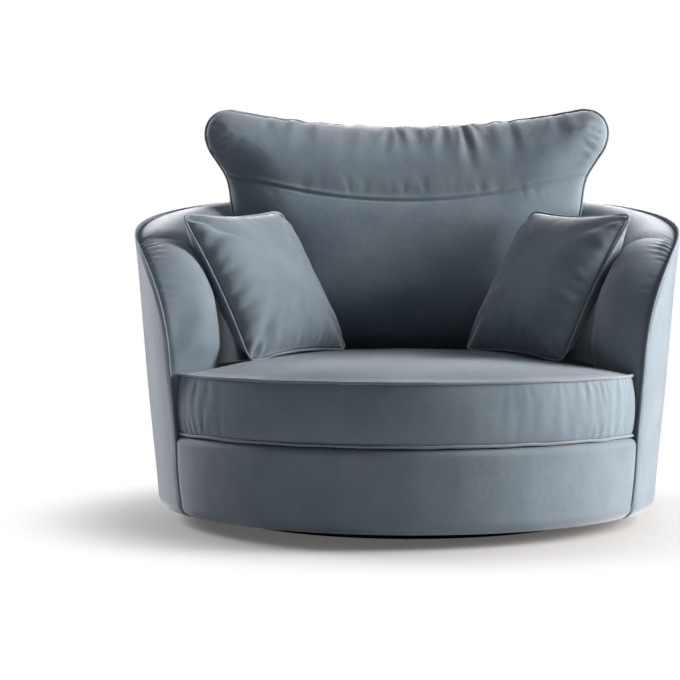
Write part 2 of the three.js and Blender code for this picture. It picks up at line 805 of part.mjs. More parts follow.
// Middle line of the piping round a cushion's edge: it lies outside the seam, in the seam's surface.
function pipingLine(edge, across) {
  const count = edge.length;
  return edge.map((p, i) => {
    const ahead = edge[(i + 1) % count]
      .clone()
      .sub(edge[(i + count - 1) % count])
      .normalize();
    return p.clone().addScaledVector(ahead.cross(across).normalize(), pipingRadius + seatGap);
  });
}

function edgePiping(line, across) {
  return tube(
    line,
    pipingRadius,
    pipingSides,
    line.map(() => across),
    true,
  );
}

function backPiping() {
  const rows = backRows().map((row) =>
    backFractions.map((a) => backPlace(...row(a).slice(0, 2), 0)),
  );
  const lean = backLeanDeg * degrees;
  const across = new THREE.Vector3(0, -Math.cos(lean), Math.sin(lean));
  return edgePiping(pipingLine(borderOf(rows), across), across);
}

// Scatter cushions. side is 1 on the right and -1 on the left.
function scatterFrame(side) {
  const [turn, lean] = [scatterTurnDeg * degrees, scatterLeanDeg * degrees];
  const along = new THREE.Vector3(-side * Math.cos(turn), Math.sin(turn), 0);
  const facing = new THREE.Vector3(-side * Math.sin(turn), -Math.cos(turn), 0);
  const up = facing.clone().multiplyScalar(-Math.sin(lean));
  up.z = Math.cos(lean);
  const out = facing.clone().multiplyScalar(Math.cos(lean));
  out.z = Math.sin(lean);
  const roll = -side * scatterRollDeg * degrees;
  [along, up].forEach((axis) => axis.applyAxisAngle(out, roll));
  return { along, up, out };
}

const scatterShares = Array.from({ length: scatterSteps + 1 }, (_, i) =>
  Math.sin(((2 * i) / scatterSteps - 1) * 90 * degrees),
);

function scatterGrid(side, front) {
  const { along, up, out } = scatterFrame(side);
  const half = scatterSide / 2;
  const local = scatterShares.map((b) =>
    scatterShares.map((a) => {
      const edge = Math.max(Math.abs(a), Math.abs(b)) > 1 - 1e-9;
      const plump = smooth((1 - Math.abs(a)) * 1.4, 1.9) * smooth((1 - Math.abs(b)) * 1.4, 1.9);
      const depth = edge ? 0 : (front * scatterThickness * plump) / 2;
      return [
        a * (half - scatterPinch * (1 - b * b) * Math.abs(a)),
        b * (half - scatterPinch * (1 - a * a) * Math.abs(b)),
        depth,
      ];
    }),
  );
  const base = new THREE.Vector3(side * scatterFootX, scatterFootY, 0);
  const place = ([x, y, depth]) =>
    base
      .clone()
      .addScaledVector(along, x)
      .addScaledVector(up, y + half)
      .addScaledVector(out, depth);
  return local.map((row) => row.map(place));
}

function scatterLine(side) {
  const across = scatterFrame(side).out.multiplyScalar(-side);
  return pipingLine(borderOf(scatterGrid(side, 0)), across);
}

// How far a scatter cushion is raised so that its piping lies on the seat.
function scatterRest(side) {
  const clear = pipingRadius + restGap;
  return Math.max(...scatterLine(side).map((p) => seatTopAt(p.x, p.y) + clear - p.z));
}

function scatterCushion(side) {
  const [front, back] = [scatterGrid(side, 1), scatterGrid(side, -1)];
  return pillow(front, back).translate(0, 0, scatterRest(side));
}

function scatterPiping(side) {
  return edgePiping(scatterLine(side), scatterFrame(side).out).translate(0, 0, scatterRest(side));
}

// A sinuous seat spring that runs from front to back, with a straight tail at each end.
function spring(x) {
  const half = Math.sqrt(deckRingHole * deckRingHole - x * x);
  const bars = Math.floor((2 * half - springPitch) / springPitch / 2) * 2 + 1;
  const first = (-(bars - 1) / 2) * springPitch;
  const points = [new THREE.Vector3(x, -half - springTail, springZ)];
  for (let k = 0; k < bars; k++) {
    const y = first + k * springPitch;
    const side = k % 2 ? -1 : 1;
    const corner = (across, along) => points.push(new THREE.Vector3(x + across, along, springZ));
    if (k === 0) corner(0, y - springCorner);
    else corner(-side * springHalfWidth, y - springCorner);
    corner(k === 0 ? side * springCorner : -side * (springHalfWidth - springCorner), y);
    corner(k === bars - 1 ? -side * springCorner : side * (springHalfWidth - springCorner), y);
    if (k === bars - 1) corner(0, y + springCorner);
    else corner(side * springHalfWidth, y + springCorner);
  }
  points.push(new THREE.Vector3(x, half + springTail, springZ));
  return tube(
    points,
    springWireRadius,
    springSides,
    points.map(() => new THREE.Vector3(0, 0, 1)),
    false,
  );
}

const springPlaces = Array.from({ length: springCount }, (_, k) => (k - (springCount - 1) / 2) * springSpacing);

// The deck ring with a clip over each end of every spring.
function deckRing() {
  const outer = frontRadius(deckRingZ) - coverThickness - frontRailThickness - 2 * seatGap;
  const facetShare = Math.cos((frontStepDeg / 2) * degrees);
  const ring = turned(ringProfile(deckRingHole, outer * facetShare, deckRingZ, deckRingTop), turnedSteps);
  const clips = [];
  for (const x of springPlaces)
    for (const end of [-1, 1]) {
      const y = end * (Math.sqrt(deckRingHole * deckRingHole - x * x) + springTail / 2);
      const tunnel = 2 * (springWireRadius + seatGap);
      const foot = deckRingTop - joinOverlap;
      const block = box(clipWidth, clipLength, clipTop - foot, x, y, foot);
      const slot = box(tunnel, clipLength + cutOverrun, tunnel, x, y, deckRingTop - seatGap);
      clips.push(cut(block, slot));
    }
  return join(ring, ...clips);
}

// Swivel bearing
const plateCorners = (turnDeg) => {
  const reach = (bearingPlateSide / 2 - screwInset) * Math.SQRT2;
  return [45, 135, 225, 315].map((angle) => polar(reach, angle + turnDeg, 0));
};

function bearingPlate(z, turnDeg, raceLow) {
  const plate = box(bearingPlateSide, bearingPlateSide, bearingPlateThickness, 0, 0, z).rotateZ(
    -turnDeg * degrees,
  );
  const clear = ballRadius + seatGap;
  const lipHeight = raceLipHeight + joinOverlap;
  const lip = (inner) => turned(ringProfile(inner, inner + raceLip, raceLow, raceLow + lipHeight), raceSteps);
  const holes = plateCorners(turnDeg).map((p) =>
    pin(screwRadius + seatGap, z - cutOverrun, z + bearingPlateThickness + cutOverrun, p.x, p.y, screwSteps),
  );
  return cut(join(plate, lip(raceRadius - clear - raceLip), lip(raceRadius + clear)), ...holes);
}

function ballCage() {
  const low = ballZ - cageThickness / 2;
  const [inner, outer] = [raceRadius - cageWidth / 2, raceRadius + cageWidth / 2];
  const cage = turned(ringProfile(inner, outer, low, low + cageThickness), raceSteps);
  const balls = Array.from({ length: ballCount }, (_, k) => {
    const place = polar(raceRadius, (360 * k) / ballCount, ballZ);
    return new THREE.SphereGeometry(ballRadius, 6, 3).rotateX(Math.PI / 2).translate(place.x, place.y, place.z);
  });
  return join(cage, ...balls);
}

// A pan-head screw whose head lies against a face at z. up is 1 where the shank points up.
function screw(place, z, up) {
  const profile = [
    [0, -screwHeadHeight],
    [screwHeadRadius * 0.6, -screwHeadHeight],
    [screwHeadRadius, 0],
    [screwRadius, 0],
    [screwRadius, screwLength - screwRadius],
    [0, screwLength],
  ];
  const geometry = turned(profile, screwSteps);
  if (up < 0) geometry.rotateX(Math.PI);
  return geometry.translate(place.x, place.y, z);
}

const pilotHole = (place, low, high) => pin(screwRadius + seatGap, low, high, place.x, place.y, screwSteps);

// Plinth
const ringFootZ = glideHeight + seatGap;
const glidePlaces = Array.from({ length: glideCount }, (_, k) =>
  polar(plinthRadius - plinthWall / 2, (360 * k) / glideCount, 0),
);

function plinthRing() {
  const inner = plinthRadius - plinthWall;
  const ledge = inner + plinthLedge;
  const profile = [
    [inner, ringFootZ],
    [plinthRadius, ringFootZ],
    [plinthRadius, plinthTop],
    [ledge, plinthTop],
    [ledge, plinthBoardZ - seatGap],
    [inner, plinthBoardZ - seatGap],
    [inner, ringFootZ],
  ];
  const holes = glidePlaces.map((p) =>
    pin(glideShankRadius + seatGap, ringFootZ - cutOverrun, ringFootZ + glideShankLength, p.x, p.y, screwSteps),
  );
  return cut(turned(profile, plinthSteps), ...holes);
}

function glide(place) {
  const profile = [
    [0, 0],
    [glideRadius * 0.85, 0],
    [glideRadius, glideHeight],
    [glideShankRadius, glideHeight],
    [glideShankRadius, glideHeight + glideShankLength],
    [0, glideHeight + glideShankLength],
  ];
  return turned(profile, screwSteps).translate(place.x, place.y, 0);
}

function plinthBoard() {
  const radius = (plinthRadius - plinthWall + plinthLedge) * Math.cos(Math.PI / plinthSteps) - seatGap;
  const profile = [
    [0, plinthBoardZ],
    [radius, plinthBoardZ],
    [radius, plinthTop],
    [0, plinthTop],
  ];
  const holes = plateCorners(0).map((p) => pilotHole(p, plinthTop - screwLength, plinthTop + cutOverrun));
  return cut(turned(profile, plinthSteps), ...holes);
}

function centreFoot() {
  const top = plinthBoardZ - seatGap;
  return turned(
    [
      [0, 0],
      [centreFootRadius * 0.92, 0],
      [centreFootRadius, top * 0.15],
      [centreFootRadius, top],
      [0, top],
    ],
    raceSteps,
  );
}

// Floor of the tub
const baseBoardRadius = footRadius - baseBoardInset;

function baseBoard() {
  const disc = turned(ringProfile(accessHoleRadius, baseBoardRadius, baseBoardZ, baseBoardTop), turnedSteps);
  const holes = plateCorners(upperScrewTurnDeg).map((p) =>
    pilotHole(p, baseBoardZ - cutOverrun, baseBoardZ + screwLength),
  );
  return cut(disc, ...holes);
}

const hoopRadius = footRadius - skirtCurl - skirtLip / 2;
const bottomHoop = () =>
  turned(ringProfile(hoopRadius - hoopWidth, hoopRadius, hoopZ, baseBoardZ - seatGap), turnedSteps);

const dustCover = () => {
  const high = baseBoardZ - seatGap;
  const inner = bearingPlateSide / Math.SQRT2 + screwInset;
  const outer = (hoopRadius - hoopWidth) * Math.cos(Math.PI / turnedSteps) - seatGap;
  return turned(ringProfile(inner, outer, high - dustCoverThickness, high), turnedSteps);
};

function post(angleDeg) {
  const height = deckRingZ - baseBoardTop - 2 * seatGap;
  const place = polar(footRadius - postInset, angleDeg, 0);
  return box(postSide, postSide, height, 0, 0, baseBoardTop + seatGap)
    .rotateZ(-angleDeg * degrees)
    .translate(place.x, place.y, 0);
}

// The chair, from the floor up
add("plinth_ring", plinthRing(), colours.plinth);
add("plinth_board", plinthBoard(), colours.board);
add("centre_foot", centreFoot(), colours.felt);
glidePlaces.forEach((place, k) => add(`glide_${k + 1}`, glide(place), colours.nylon));
const lowerLipZ = lowerPlateZ + bearingPlateThickness - joinOverlap;
add("bearing_lower_plate", bearingPlate(lowerPlateZ, 0, lowerLipZ), colours.steel);
add("ball_cage", ballCage(), colours.steel);
add(
  "bearing_upper_plate",
  bearingPlate(upperPlateZ, upperScrewTurnDeg, upperPlateZ - raceLipHeight),
  colours.steel,
);
plateCorners(0).forEach((p, k) =>
  add(`lower_screw_${k + 1}`, screw(p, lowerPlateZ + bearingPlateThickness + seatGap, -1), colours.steel),
);
plateCorners(upperScrewTurnDeg).forEach((p, k) =>
  add(`upper_screw_${k + 1}`, screw(p, upperPlateZ - seatGap, 1), colours.steel),
);
add("bottom_hoop", bottomHoop(), colours.board);
add("dust_cover", dustCover(), colours.felt);
add("base_board", baseBoard(), colours.board);
for (let k = 0; k < postCount; k++) {
  add(`post_${k + 1}`, post(((k + 0.5) * 2 * halfTurnDeg) / postCount), colours.timber);
}
add("deck_ring", deckRing(), colours.board);
add("front_rail", frontRail(), colours.board);
springPlaces.forEach((x, k) => add(`seat_spring_${k + 1}`, spring(x), colours.springSteel));
add("seat_platform", platform(), colours.felt);

const railTop = (angle) => rimZ(angle) - railDrop;
const railFoot = (angle) => railTop(angle) - railHeight;
const postAngles = columns().filter((a) => a > cornerStartDeg);
const armPostDeg = (postAngles[2] + postAngles[3]) / 2;
const railEndDeg = postAngles[1];
const liningTop = (angle) => Math.min(rimZ(angle), armHeight) - liningDrop;
ribAnglesDeg.forEach((angle, k) => {
  const width = ribThickness;
  const topZ = Math.min(railFoot(angle - 2), railFoot(angle + 2)) - seatGap;
  const board = upright(angle, width, ribDepth, ribTopDepth, ribTaperHeight, topZ);
  add(`back_rib_${k + 1}`, board, colours.timber);
});
[-1, 1].forEach((side) => {
  const topZ = railFoot(armPostDeg);
  const board = upright(side * armPostDeg, armPostWidth, ribDepth, ribTopDepth, ribTaperHeight, topZ);
  add(side < 0 ? "arm_post_left" : "arm_post_right", board, colours.timber);
});
add("top_rail", rimBand(railEndDeg, 0, railDepth, railFoot, railTop), colours.timber);
add(
  "inner_lining",
  rimBand(railEndDeg, ribDepth + seatGap, liningThickness, () => padFootZ, liningTop),
  colours.board,
);
add("outer_cover", outerCover(), colours.velvet);
add("padded_wall", loft(columns().map(padColumn), { capStart: false, capEnd: false }), colours.velvet);
add("wall_piping", shellPiping(), colours.piping);
add("front_cover", frontCover(), colours.velvet);

add("seat_cushion", seatCushion(), colours.velvet);
add("seat_piping_lower", seatPiping(lowOutline, cushionLowSeamZ), colours.piping);
add("seat_piping_upper", seatPiping(topOutline, cushionTopSeamZ), colours.piping);
add("back_cushion", backCushion(), colours.velvet);
add("back_piping", backPiping(), colours.piping);
[-1, 1].forEach((side) => {
  const name = side < 0 ? "left" : "right";
  add(`scatter_cushion_${name}`, scatterCushion(side), colours.velvet);
  add(`scatter_piping_${name}`, scatterPiping(side), colours.piping);
});

export default chair;
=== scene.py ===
"""A round swivel cuddle chair in blue-grey velvet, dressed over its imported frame.

Metres, +Z up. The front faces -Y and the origin is on the swivel axis at the floor. Angles round the tub
are counted from the rear (+Y) towards +X, as in the part's source.
"""
import logging
import math
from dataclasses import dataclass
from enum import Enum
from typing import Any, Callable, Optional, Sequence, Union

import bmesh
import bpy
import numpy as np
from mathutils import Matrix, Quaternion, Vector


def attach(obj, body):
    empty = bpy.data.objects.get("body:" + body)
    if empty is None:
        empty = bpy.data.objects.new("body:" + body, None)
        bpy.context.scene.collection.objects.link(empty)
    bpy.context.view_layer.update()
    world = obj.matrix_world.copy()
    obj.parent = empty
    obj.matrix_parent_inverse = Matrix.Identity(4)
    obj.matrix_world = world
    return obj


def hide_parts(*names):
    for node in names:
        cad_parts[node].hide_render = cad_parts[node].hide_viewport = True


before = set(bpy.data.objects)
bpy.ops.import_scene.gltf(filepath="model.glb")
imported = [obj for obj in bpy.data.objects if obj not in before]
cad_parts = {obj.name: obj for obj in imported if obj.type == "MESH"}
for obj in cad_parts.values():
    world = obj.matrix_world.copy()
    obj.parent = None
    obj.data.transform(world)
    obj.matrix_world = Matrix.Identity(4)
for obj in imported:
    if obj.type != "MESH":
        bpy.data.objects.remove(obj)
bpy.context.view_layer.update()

log = logging.getLogger("cuddle_chair")

Array = np.ndarray
Colour = tuple[float, float, float]
UP = np.array([0, 0, 1.0])
TINY = 1e-12
CREASE_ROUNDING = 5.0
CAMERA_RAY = "Is Camera Ray"
WAVES = 10
CORD_UNEVEN = 0.05


class Body(Enum):
    """The bodies of the frame that pieces ride on."""

    BASE = "base"
    TUB = "tub"
    SEAT = "seat_cushion"
    BACK = "back_cushion"
    LEFT = "scatter_left"
    RIGHT = "scatter_right"


class Side(Enum):
    """A side of the chair, as the sign of its X."""

    LEFT = -1
    RIGHT = 1

    @property
    def word(self) -> str:
        """The side's name as it stands in node names."""
        return self.name.lower()


# ---------------------------------------------------------------- shader maths
Number = Union[int, float, "Reading"]


class Reading:
    """A number that varies over a surface: an output socket that takes part in Python expressions."""

    def __init__(self, recipe: "Recipe", socket: bpy.types.NodeSocket) -> None:
        """Wraps a socket of a recipe's tree."""
        self.recipe = recipe
        self.socket = socket

    def _maths(self, operation: str, *values: Number) -> "Reading":
        """Adds a Math node.

        Args:
            operation: the node's operation.
            values: its inputs, in order.

        Returns:
            The node's result.
        """
        node = self.recipe.node("ShaderNodeMath", {"operation": operation}, dict(enumerate(values)))
        return Reading(self.recipe, node.outputs[0])

    def __add__(self, other: Number) -> "Reading":
        """Sum."""
        return self._maths("ADD", self, other)

    __radd__ = __add__

    def __mul__(self, other: Number) -> "Reading":
        """Product."""
        return self._maths("MULTIPLY", self, other)

    __rmul__ = __mul__

    def __sub__(self, other: Number) -> "Reading":
        """Difference."""
        return self._maths("SUBTRACT", self, other)

    def __rsub__(self, other: Number) -> "Reading":
        """Difference, taken from a number."""
        return self._maths("SUBTRACT", other, self)

    def __pow__(self, other: Number) -> "Reading":
        """Power."""
        return self._maths("POWER", self, other)

    def wave(self) -> "Reading":
        """Sine."""
        return self._maths("SINE", self)

    def between(self, low: float, high: float) -> "Reading":
        """Rises smoothly from 0 to 1.

        Args:
            low: where the rise starts.
            high: where it ends.

        Returns:
            The rise, from 0 to 1.
        """
        inputs = {"Value": self, "From Min": low, "From Max": high}
        node = self.recipe.node("ShaderNodeMapRange", {"interpolation_type": "SMOOTHSTEP"}, inputs)
        return Reading(self.recipe, node.outputs[0])


class Recipe:
    """A material's node tree, with the few kinds of node that the finishes of this chair need."""

    def __init__(self, name: str) -> None:
        """Starts an empty material.

        Args:
            name: the material's name.
        """
        self.material = bpy.data.materials.new(name)
        self.material.use_nodes = True
        self.tree = self.material.node_tree
        self.tree.nodes.clear()
        self.place = self.node("ShaderNodeTexCoord").outputs["Object"]

    def node(
        self, kind: str, settings: Optional[dict[str, Any]] = None, inputs: Optional[dict[Any, Any]] = None
    ) -> bpy.types.Node:
        """Adds a node.

        Args:
            kind: the node's type.
            settings: its settings, which are set first.
            inputs: values, readings or sockets for its inputs, by name or number.

        Returns:
            The node.
        """
        made = self.tree.nodes.new(kind)
        for name, value in (settings or {}).items():
            setattr(made, name, value)
        for name, value in (inputs or {}).items():
            socket = made.inputs[name]
            if isinstance(value, Reading):
                value = value.socket
            if isinstance(value, bpy.types.NodeSocket):
                self.tree.links.new(value, socket)
            elif isinstance(value, tuple) and len(value) == 3 and socket.type == "RGBA":
                socket.default_value = (*value, 1)
            else:
                socket.default_value = value
        return made

    def stretched(self, scale: Sequence[float]) -> bpy.types.NodeSocket:
        """The object coordinates, scaled along each axis."""
        made = self.node("ShaderNodeMapping", {}, {"Vector": self.place, "Scale": tuple(scale)})
        return made.outputs[0]

    def noise(self, size: float, detail: float = 2.0, stretch: Sequence[float] = (1, 1, 1)) -> Reading:
        """Smooth noise about 0.5.

        Args:
            size: the width of a patch, in metres.
            detail: octaves.
            stretch: how much narrower a patch is along each axis.

        Returns:
            The noise, from 0 to 1.
        """
        inputs = {"Vector": self.stretched(stretch), "Scale": 1 / size, "Detail": detail}
        return Reading(self, self.node("ShaderNodeTexNoise", {}, inputs).outputs[0])

    def cells(self, size: float, stretch: Sequence[float] = (1, 1, 1)) -> Reading:
        """A random number for each cell of a Voronoi pattern.

        Args:
            size: about how wide a cell is, in metres.
            stretch: how much narrower a cell is along each axis.

        Returns:
            The number, from 0 to 1.
        """
        inputs = {"Vector": self.stretched(stretch), "Scale": 1 / size}
        made = self.node("ShaderNodeTexVoronoi", {}, inputs)
        return Reading(self, self.node("ShaderNodeSeparateXYZ", {}, {0: made.outputs["Color"]}).outputs[0])

    def axis(self, number: int) -> Reading:
        """The place along one axis, in metres."""
        return Reading(self, self.node("ShaderNodeSeparateXYZ", {}, {0: self.place}).outputs[number])

    def mix(self, share: Number, low: Any, high: Any) -> bpy.types.NodeSocket:
        """Mixes two colours.

        Args:
            share: how much of the second colour there is.
            low: the first colour, or a colour socket.
            high: the second colour, or a colour socket.

        Returns:
            The mixed colour.
        """
        settings = {"data_type": "RGBA", "clamp_factor": True}
        return self.node("ShaderNodeMix", settings, {0: share, 6: low, 7: high}).outputs[2]

    def bump(self, height: Reading, depth: float, strength: float = 1.0) -> bpy.types.NodeSocket:
        """Turns a height into a normal; depth is in metres."""
        inputs = {"Height": height, "Distance": depth, "Strength": strength}
        return self.node("ShaderNodeBump", {}, inputs).outputs[0]

    def surface(self, **inputs: Any) -> bpy.types.Material:
        """Ends the material in a Principled shader.

        Args:
            inputs: the shader's inputs, with underscores for the blanks in their names.

        Returns:
            The finished material.
        """
        named = {name.replace("_", " "): value for name, value in inputs.items()}
        shader = self.node("ShaderNodeBsdfPrincipled", {}, named)
        self.node("ShaderNodeOutputMaterial", {}, {"Surface": shader.outputs[0]})
        return self.material


# ---------------------------------------------------------------- finishes
@dataclass(frozen=True)
class Velvet:
    """Short-pile upholstery velvet: nap patches, faint hand marks and a fine pile.

    Where laid is set, the colour above a set height darkens towards a share of dark. This is painted shade
    that makes the top, such as the seat's crown, darker than its sides.
    """

    name: str = "velvet"
    dark: Colour = (0.157, 0.202, 0.237)
    light: Colour = (0.218, 0.269, 0.306)
    sheen: float = 0.8
    pile: float = 0.0011
    tint: Colour = (0.955, 0.955, 1.0)
    # laid: how strongly painted shade darkens the cloth above a set height
    laid: float = 0.0
    painted_shade_above: float = 0.376
    painted_shade_factor: float = 0.6
    nap_patches: tuple[float, float] = (0.26, 0.07)
    depth: float = 0.0006

    def make(self) -> bpy.types.Material:
        """Builds the material.

        Returns:
            The finished material.
        """
        r = Recipe(self.name)
        wide, small = self.nap_patches
        nap = r.noise(wide, 2.5) * 0.62 + r.noise(small, 3.0) * 0.38
        pile = r.noise(self.pile, 2.0)
        tone = nap.between(0.32, 0.68) * 0.86 + (pile - 0.5) * 0.5
        relief = pile + r.noise(0.012, 3.0) * 1.4 + r.noise(0.05, 2.0) * 3.0
        colour = r.mix(tone, self.dark, self.light)
        # painted shade: the cloth above a set height is darkened, standing in for shade on the top
        if self.laid:
            deep = tuple(self.painted_shade_factor * c for c in self.dark)
            painted_top_shade = r.axis(2).between(self.painted_shade_above, self.painted_shade_above + 0.006) * self.laid
            colour = r.mix(painted_top_shade, colour, deep)
        return r.surface(
            Base_Color=colour,
            Roughness=0.72 + nap * 0.2,
            Normal=r.bump(relief, self.depth, 0.55),
            Specular_IOR_Level=0.25,
            Sheen_Weight=self.sheen,
            Sheen_Roughness=0.36,
            Sheen_Tint=self.tint,
        )


@dataclass(frozen=True)
class PaintedWood:
    """Black satin paint over board, with a faint brush grain and a few rubbed places."""

    colour: Colour = (0.015, 0.015, 0.016)

    def make(self) -> bpy.types.Material:
        """Builds the material.

        Returns:
            The finished material.
        """
        r = Recipe("plinth_paint")
        grain = r.noise(0.006, 4.0, (0.12, 0.12, 1))
        rub = r.noise(0.03, 4.0).between(0.62, 0.8)
        return r.surface(
            Base_Color=r.mix(rub * 0.5, self.colour, (0.05, 0.045, 0.042)),
            Roughness=0.42 + grain * 0.22,
            Normal=r.bump(grain, 0.0004, 0.5),
            Specular_IOR_Level=0.3,
        )


@dataclass(frozen=True)
class Plywood:
    """Birch ply: wide cathedral grain on its faces and thin dark plies on its edges."""

    pale: Colour = (0.50, 0.34, 0.19)
    deep: Colour = (0.31, 0.19, 0.095)
    ply: float = 0.0028

    def make(self) -> bpy.types.Material:
        """Builds the material.

        Returns:
            The finished material.
        """
        r = Recipe("plywood")
        figure = ((r.axis(1) + r.noise(0.25, 3.0, (1, 0.25, 1)) * 0.12) * 420).wave() * 0.5 + 0.5
        plies = (r.axis(2) * (math.tau / (2 * self.ply))).wave().between(0.2, 0.6)
        pores = r.noise(0.0016, 3.0, (1, 0.06, 1))
        tone = figure * 0.35 + plies * 0.3 + pores * 0.4
        return r.surface(
            Base_Color=r.mix(tone, self.pale, self.deep),
            Roughness=0.58 + pores * 0.25,
            Normal=r.bump(pores + plies * 0.4, 0.0003, 0.6),
        )


@dataclass(frozen=True)
class Timber:
    """Sawn softwood rails and posts, with upright grain and darker knots."""

    pale: Colour = (0.56, 0.38, 0.21)
    deep: Colour = (0.34, 0.20, 0.10)

    def make(self) -> bpy.types.Material:
        """Builds the material.

        Returns:
            The finished material.
        """
        r = Recipe("timber")
        rings = r.axis(0) + r.axis(1) + r.noise(0.09, 3.0, (1, 1, 0.12)) * 0.05
        grain = (rings * 900).wave() * 0.5 + 0.5
        knots = r.noise(0.05, 1.0, (1, 1, 0.5)).between(0.70, 0.80)
        fibres = r.noise(0.0014, 3.0, (1, 1, 0.05))
        return r.surface(
            Base_Color=r.mix(grain * 0.45 + knots * 0.5 + fibres * 0.2, self.pale, self.deep),
            Roughness=0.66 + fibres * 0.25,
            Normal=r.bump(fibres + grain * 0.3, 0.0004, 0.6),
        )


@dataclass(frozen=True)
class PlatedSteel:
    """Zinc-plated steel of the bearing and its screws, with spangle and fine scratches."""

    name: str = "steel"
    bright: Colour = (0.62, 0.63, 0.64)
    dull: Colour = (0.40, 0.41, 0.43)
    gloss: float = 0.28

    def make(self) -> bpy.types.Material:
        """Builds the material.

        Returns:
            The finished material.
        """
        r = Recipe(self.name)
        spangle = r.cells(0.007)
        scratch = r.noise(0.0012, 3.0, (1, 0.08, 1))
        return r.surface(
            Base_Color=r.mix(spangle * 0.6 + scratch * 0.3, self.bright, self.dull),
            Metallic=0.95,
            Roughness=self.gloss + spangle * 0.14 + scratch * 0.12,
            Normal=r.bump(scratch, 0.0001, 0.5),
        )


@dataclass(frozen=True)
class MouldedNylon:
    """Off-white nylon glides, scuffed where they slide."""

    def make(self) -> bpy.types.Material:
        """Builds the material.

        Returns:
            The finished material.
        """
        r = Recipe("nylon")
        scuff = r.noise(0.002, 4.0)
        return r.surface(
            Base_Color=r.mix(scuff.between(0.5, 0.75), (0.66, 0.65, 0.61), (0.42, 0.41, 0.38)),
            Roughness=0.4 + scuff * 0.3,
            Normal=r.bump(scuff, 0.0002, 0.5),
        )


@dataclass(frozen=True)
class PressedFelt:
    """Pressed grey felt and non-woven cloth: matted fibres and point bonding."""

    name: str = "felt"
    dark: Colour = (0.030, 0.031, 0.034)
    light: Colour = (0.085, 0.088, 0.095)

    def make(self) -> bpy.types.Material:
        """Builds the material.

        Returns:
            The finished material.
        """
        r = Recipe(self.name)
        fibres = r.noise(0.0016, 5.0)
        points = r.cells(0.0035)
        return r.surface(
            Base_Color=r.mix(fibres.between(0.35, 0.65) * 0.7 + points * 0.3, self.dark, self.light),
            Roughness=0.88 + fibres * 0.1,
            Normal=r.bump(fibres * 2.0 + points, 0.0006, 0.7),
            Sheen_Weight=0.25,
        )


@dataclass(frozen=True)
class FootRubber:
    """Black rubber of the centre foot, matt and lightly moulded."""

    def make(self) -> bpy.types.Material:
        """Builds the material.

        Returns:
            The finished material.
        """
        r = Recipe("rubber_foot")
        skin = r.noise(0.0018, 4.0)
        return r.surface(
            Base_Color=r.mix(skin, (0.014, 0.014, 0.015), (0.035, 0.035, 0.036)),
            Roughness=0.7 + skin * 0.2,
            Normal=r.bump(skin, 0.0003, 0.6),
        )


def dress(piece: bpy.types.Object, material: bpy.types.Material) -> None:
    """Gives a piece one material all over."""
    piece.data.materials.clear()
    piece.data.materials.append(material)


# ---------------------------------------------------------------- mesh helpers
def smooth_rise(share: Array, power: float) -> Array:
    """Rises from 0 at 0 to 1 at 1 along a superellipse, and stays at 1.

    Args:
        share: how far along the rise each place is.
        power: how full the curve is.

    Returns:
        The height of each place.
    """
    return np.maximum(0, 1 - (1 - np.clip(share, 0, 1)) ** power) ** (1 / power)


def hump(away: Array, width: float) -> Array:
    """A smooth hill, 1 high in its middle, of which little is left beyond its width."""
    return np.exp(-((away / width) ** 2))


def unit(ways: Array) -> Array:
    """Directions, each made 1 long."""
    return ways / np.maximum(np.linalg.norm(ways, axis=-1, keepdims=True), TINY)


def ahead_of(line: Array) -> Array:
    """The way that a closed line runs at each of its points, from the point before to the one after."""
    return np.roll(line, -1, axis=0) - np.roll(line, 1, axis=0)


def rim_of(grid: Array) -> Array:
    """The outer points of a grid, as one loop."""
    return np.vstack([grid[0], grid[1:-1, -1], grid[-1][::-1], grid[1:-1, 0][::-1]])


def at_depth(flat: Array, depth: Array) -> Array:
    """The points of a panel laid flat, each at its depth."""
    return np.concatenate([flat, depth[..., None]], axis=-1)


def soft_step(share: Array) -> Array:
    """Rises from 0 at 0 to 1 at 1, level at both ends."""
    share = np.clip(share, 0, 1)
    return share * share * (3 - 2 * share)


def soft_least(first: Array, second: Array) -> Array:
    """The lesser of two depths, with the crease between them rounded off.

    Args:
        first: one depth at each place.
        second: the other depth at each place.

    Returns:
        The depth of each place, which is 0 where either is 0.
    """
    both = np.minimum(first, second)
    high, low = np.maximum(first, 1e-6), np.maximum(second, 1e-6)
    joined = (high**-CREASE_ROUNDING + low**-CREASE_ROUNDING) ** (-1 / CREASE_ROUNDING)
    return np.where(both > 0, joined, 0.0)


def soft_noise(places: Array, size: float, seed: int) -> Array:
    """Smooth repeatable noise of about -1 to 1, summed from plane waves in seeded directions.

    Args:
        places: points in a last axis of 2 or 3 coordinates, in metres.
        size: the width of a patch, in metres.
        seed: picks the waves.

    Returns:
        A value for each point.
    """
    rng = np.random.default_rng(seed)
    total = np.zeros(places.shape[:-1])
    for _ in range(WAVES):
        way = rng.normal(size=places.shape[-1])
        way *= math.pi / size * rng.uniform(0.6, 1.4) / np.linalg.norm(way)
        total += np.sin(places @ way + rng.uniform(0, math.tau))
    return total / math.sqrt(WAVES)


def resampled(line: Array, count: int, loop: bool = True) -> Array:
    """Points at equal distances along a line.

    Args:
        line: the line's points.
        count: how many points to return.
        loop: whether the line closes on itself.

    Returns:
        The points.
    """
    closed = np.vstack([line, line[:1]]) if loop else line
    reach = np.concatenate([[0], np.cumsum(np.linalg.norm(np.diff(closed, axis=0), axis=1))])
    stops = np.linspace(0, reach[-1], count, endpoint=not loop)
    return np.stack([np.interp(stops, reach, closed[:, k]) for k in range(closed.shape[1])], axis=1)


def eased(line: Array, passes: int, loop: bool = True) -> Array:
    """Takes the corners off a line by averaging neighbours.

    Args:
        line: the line's points.
        passes: how often neighbours are averaged.
        loop: whether the line closes on itself; the ends of an open one stay.

    Returns:
        The points.
    """
    for _ in range(passes):
        before, after = np.roll(line, 1, axis=0), np.roll(line, -1, axis=0)
        calm = line * 0.5 + (before + after) * 0.25
        if not loop:
            calm[0], calm[-1] = line[0], line[-1]
        line = calm
    return line


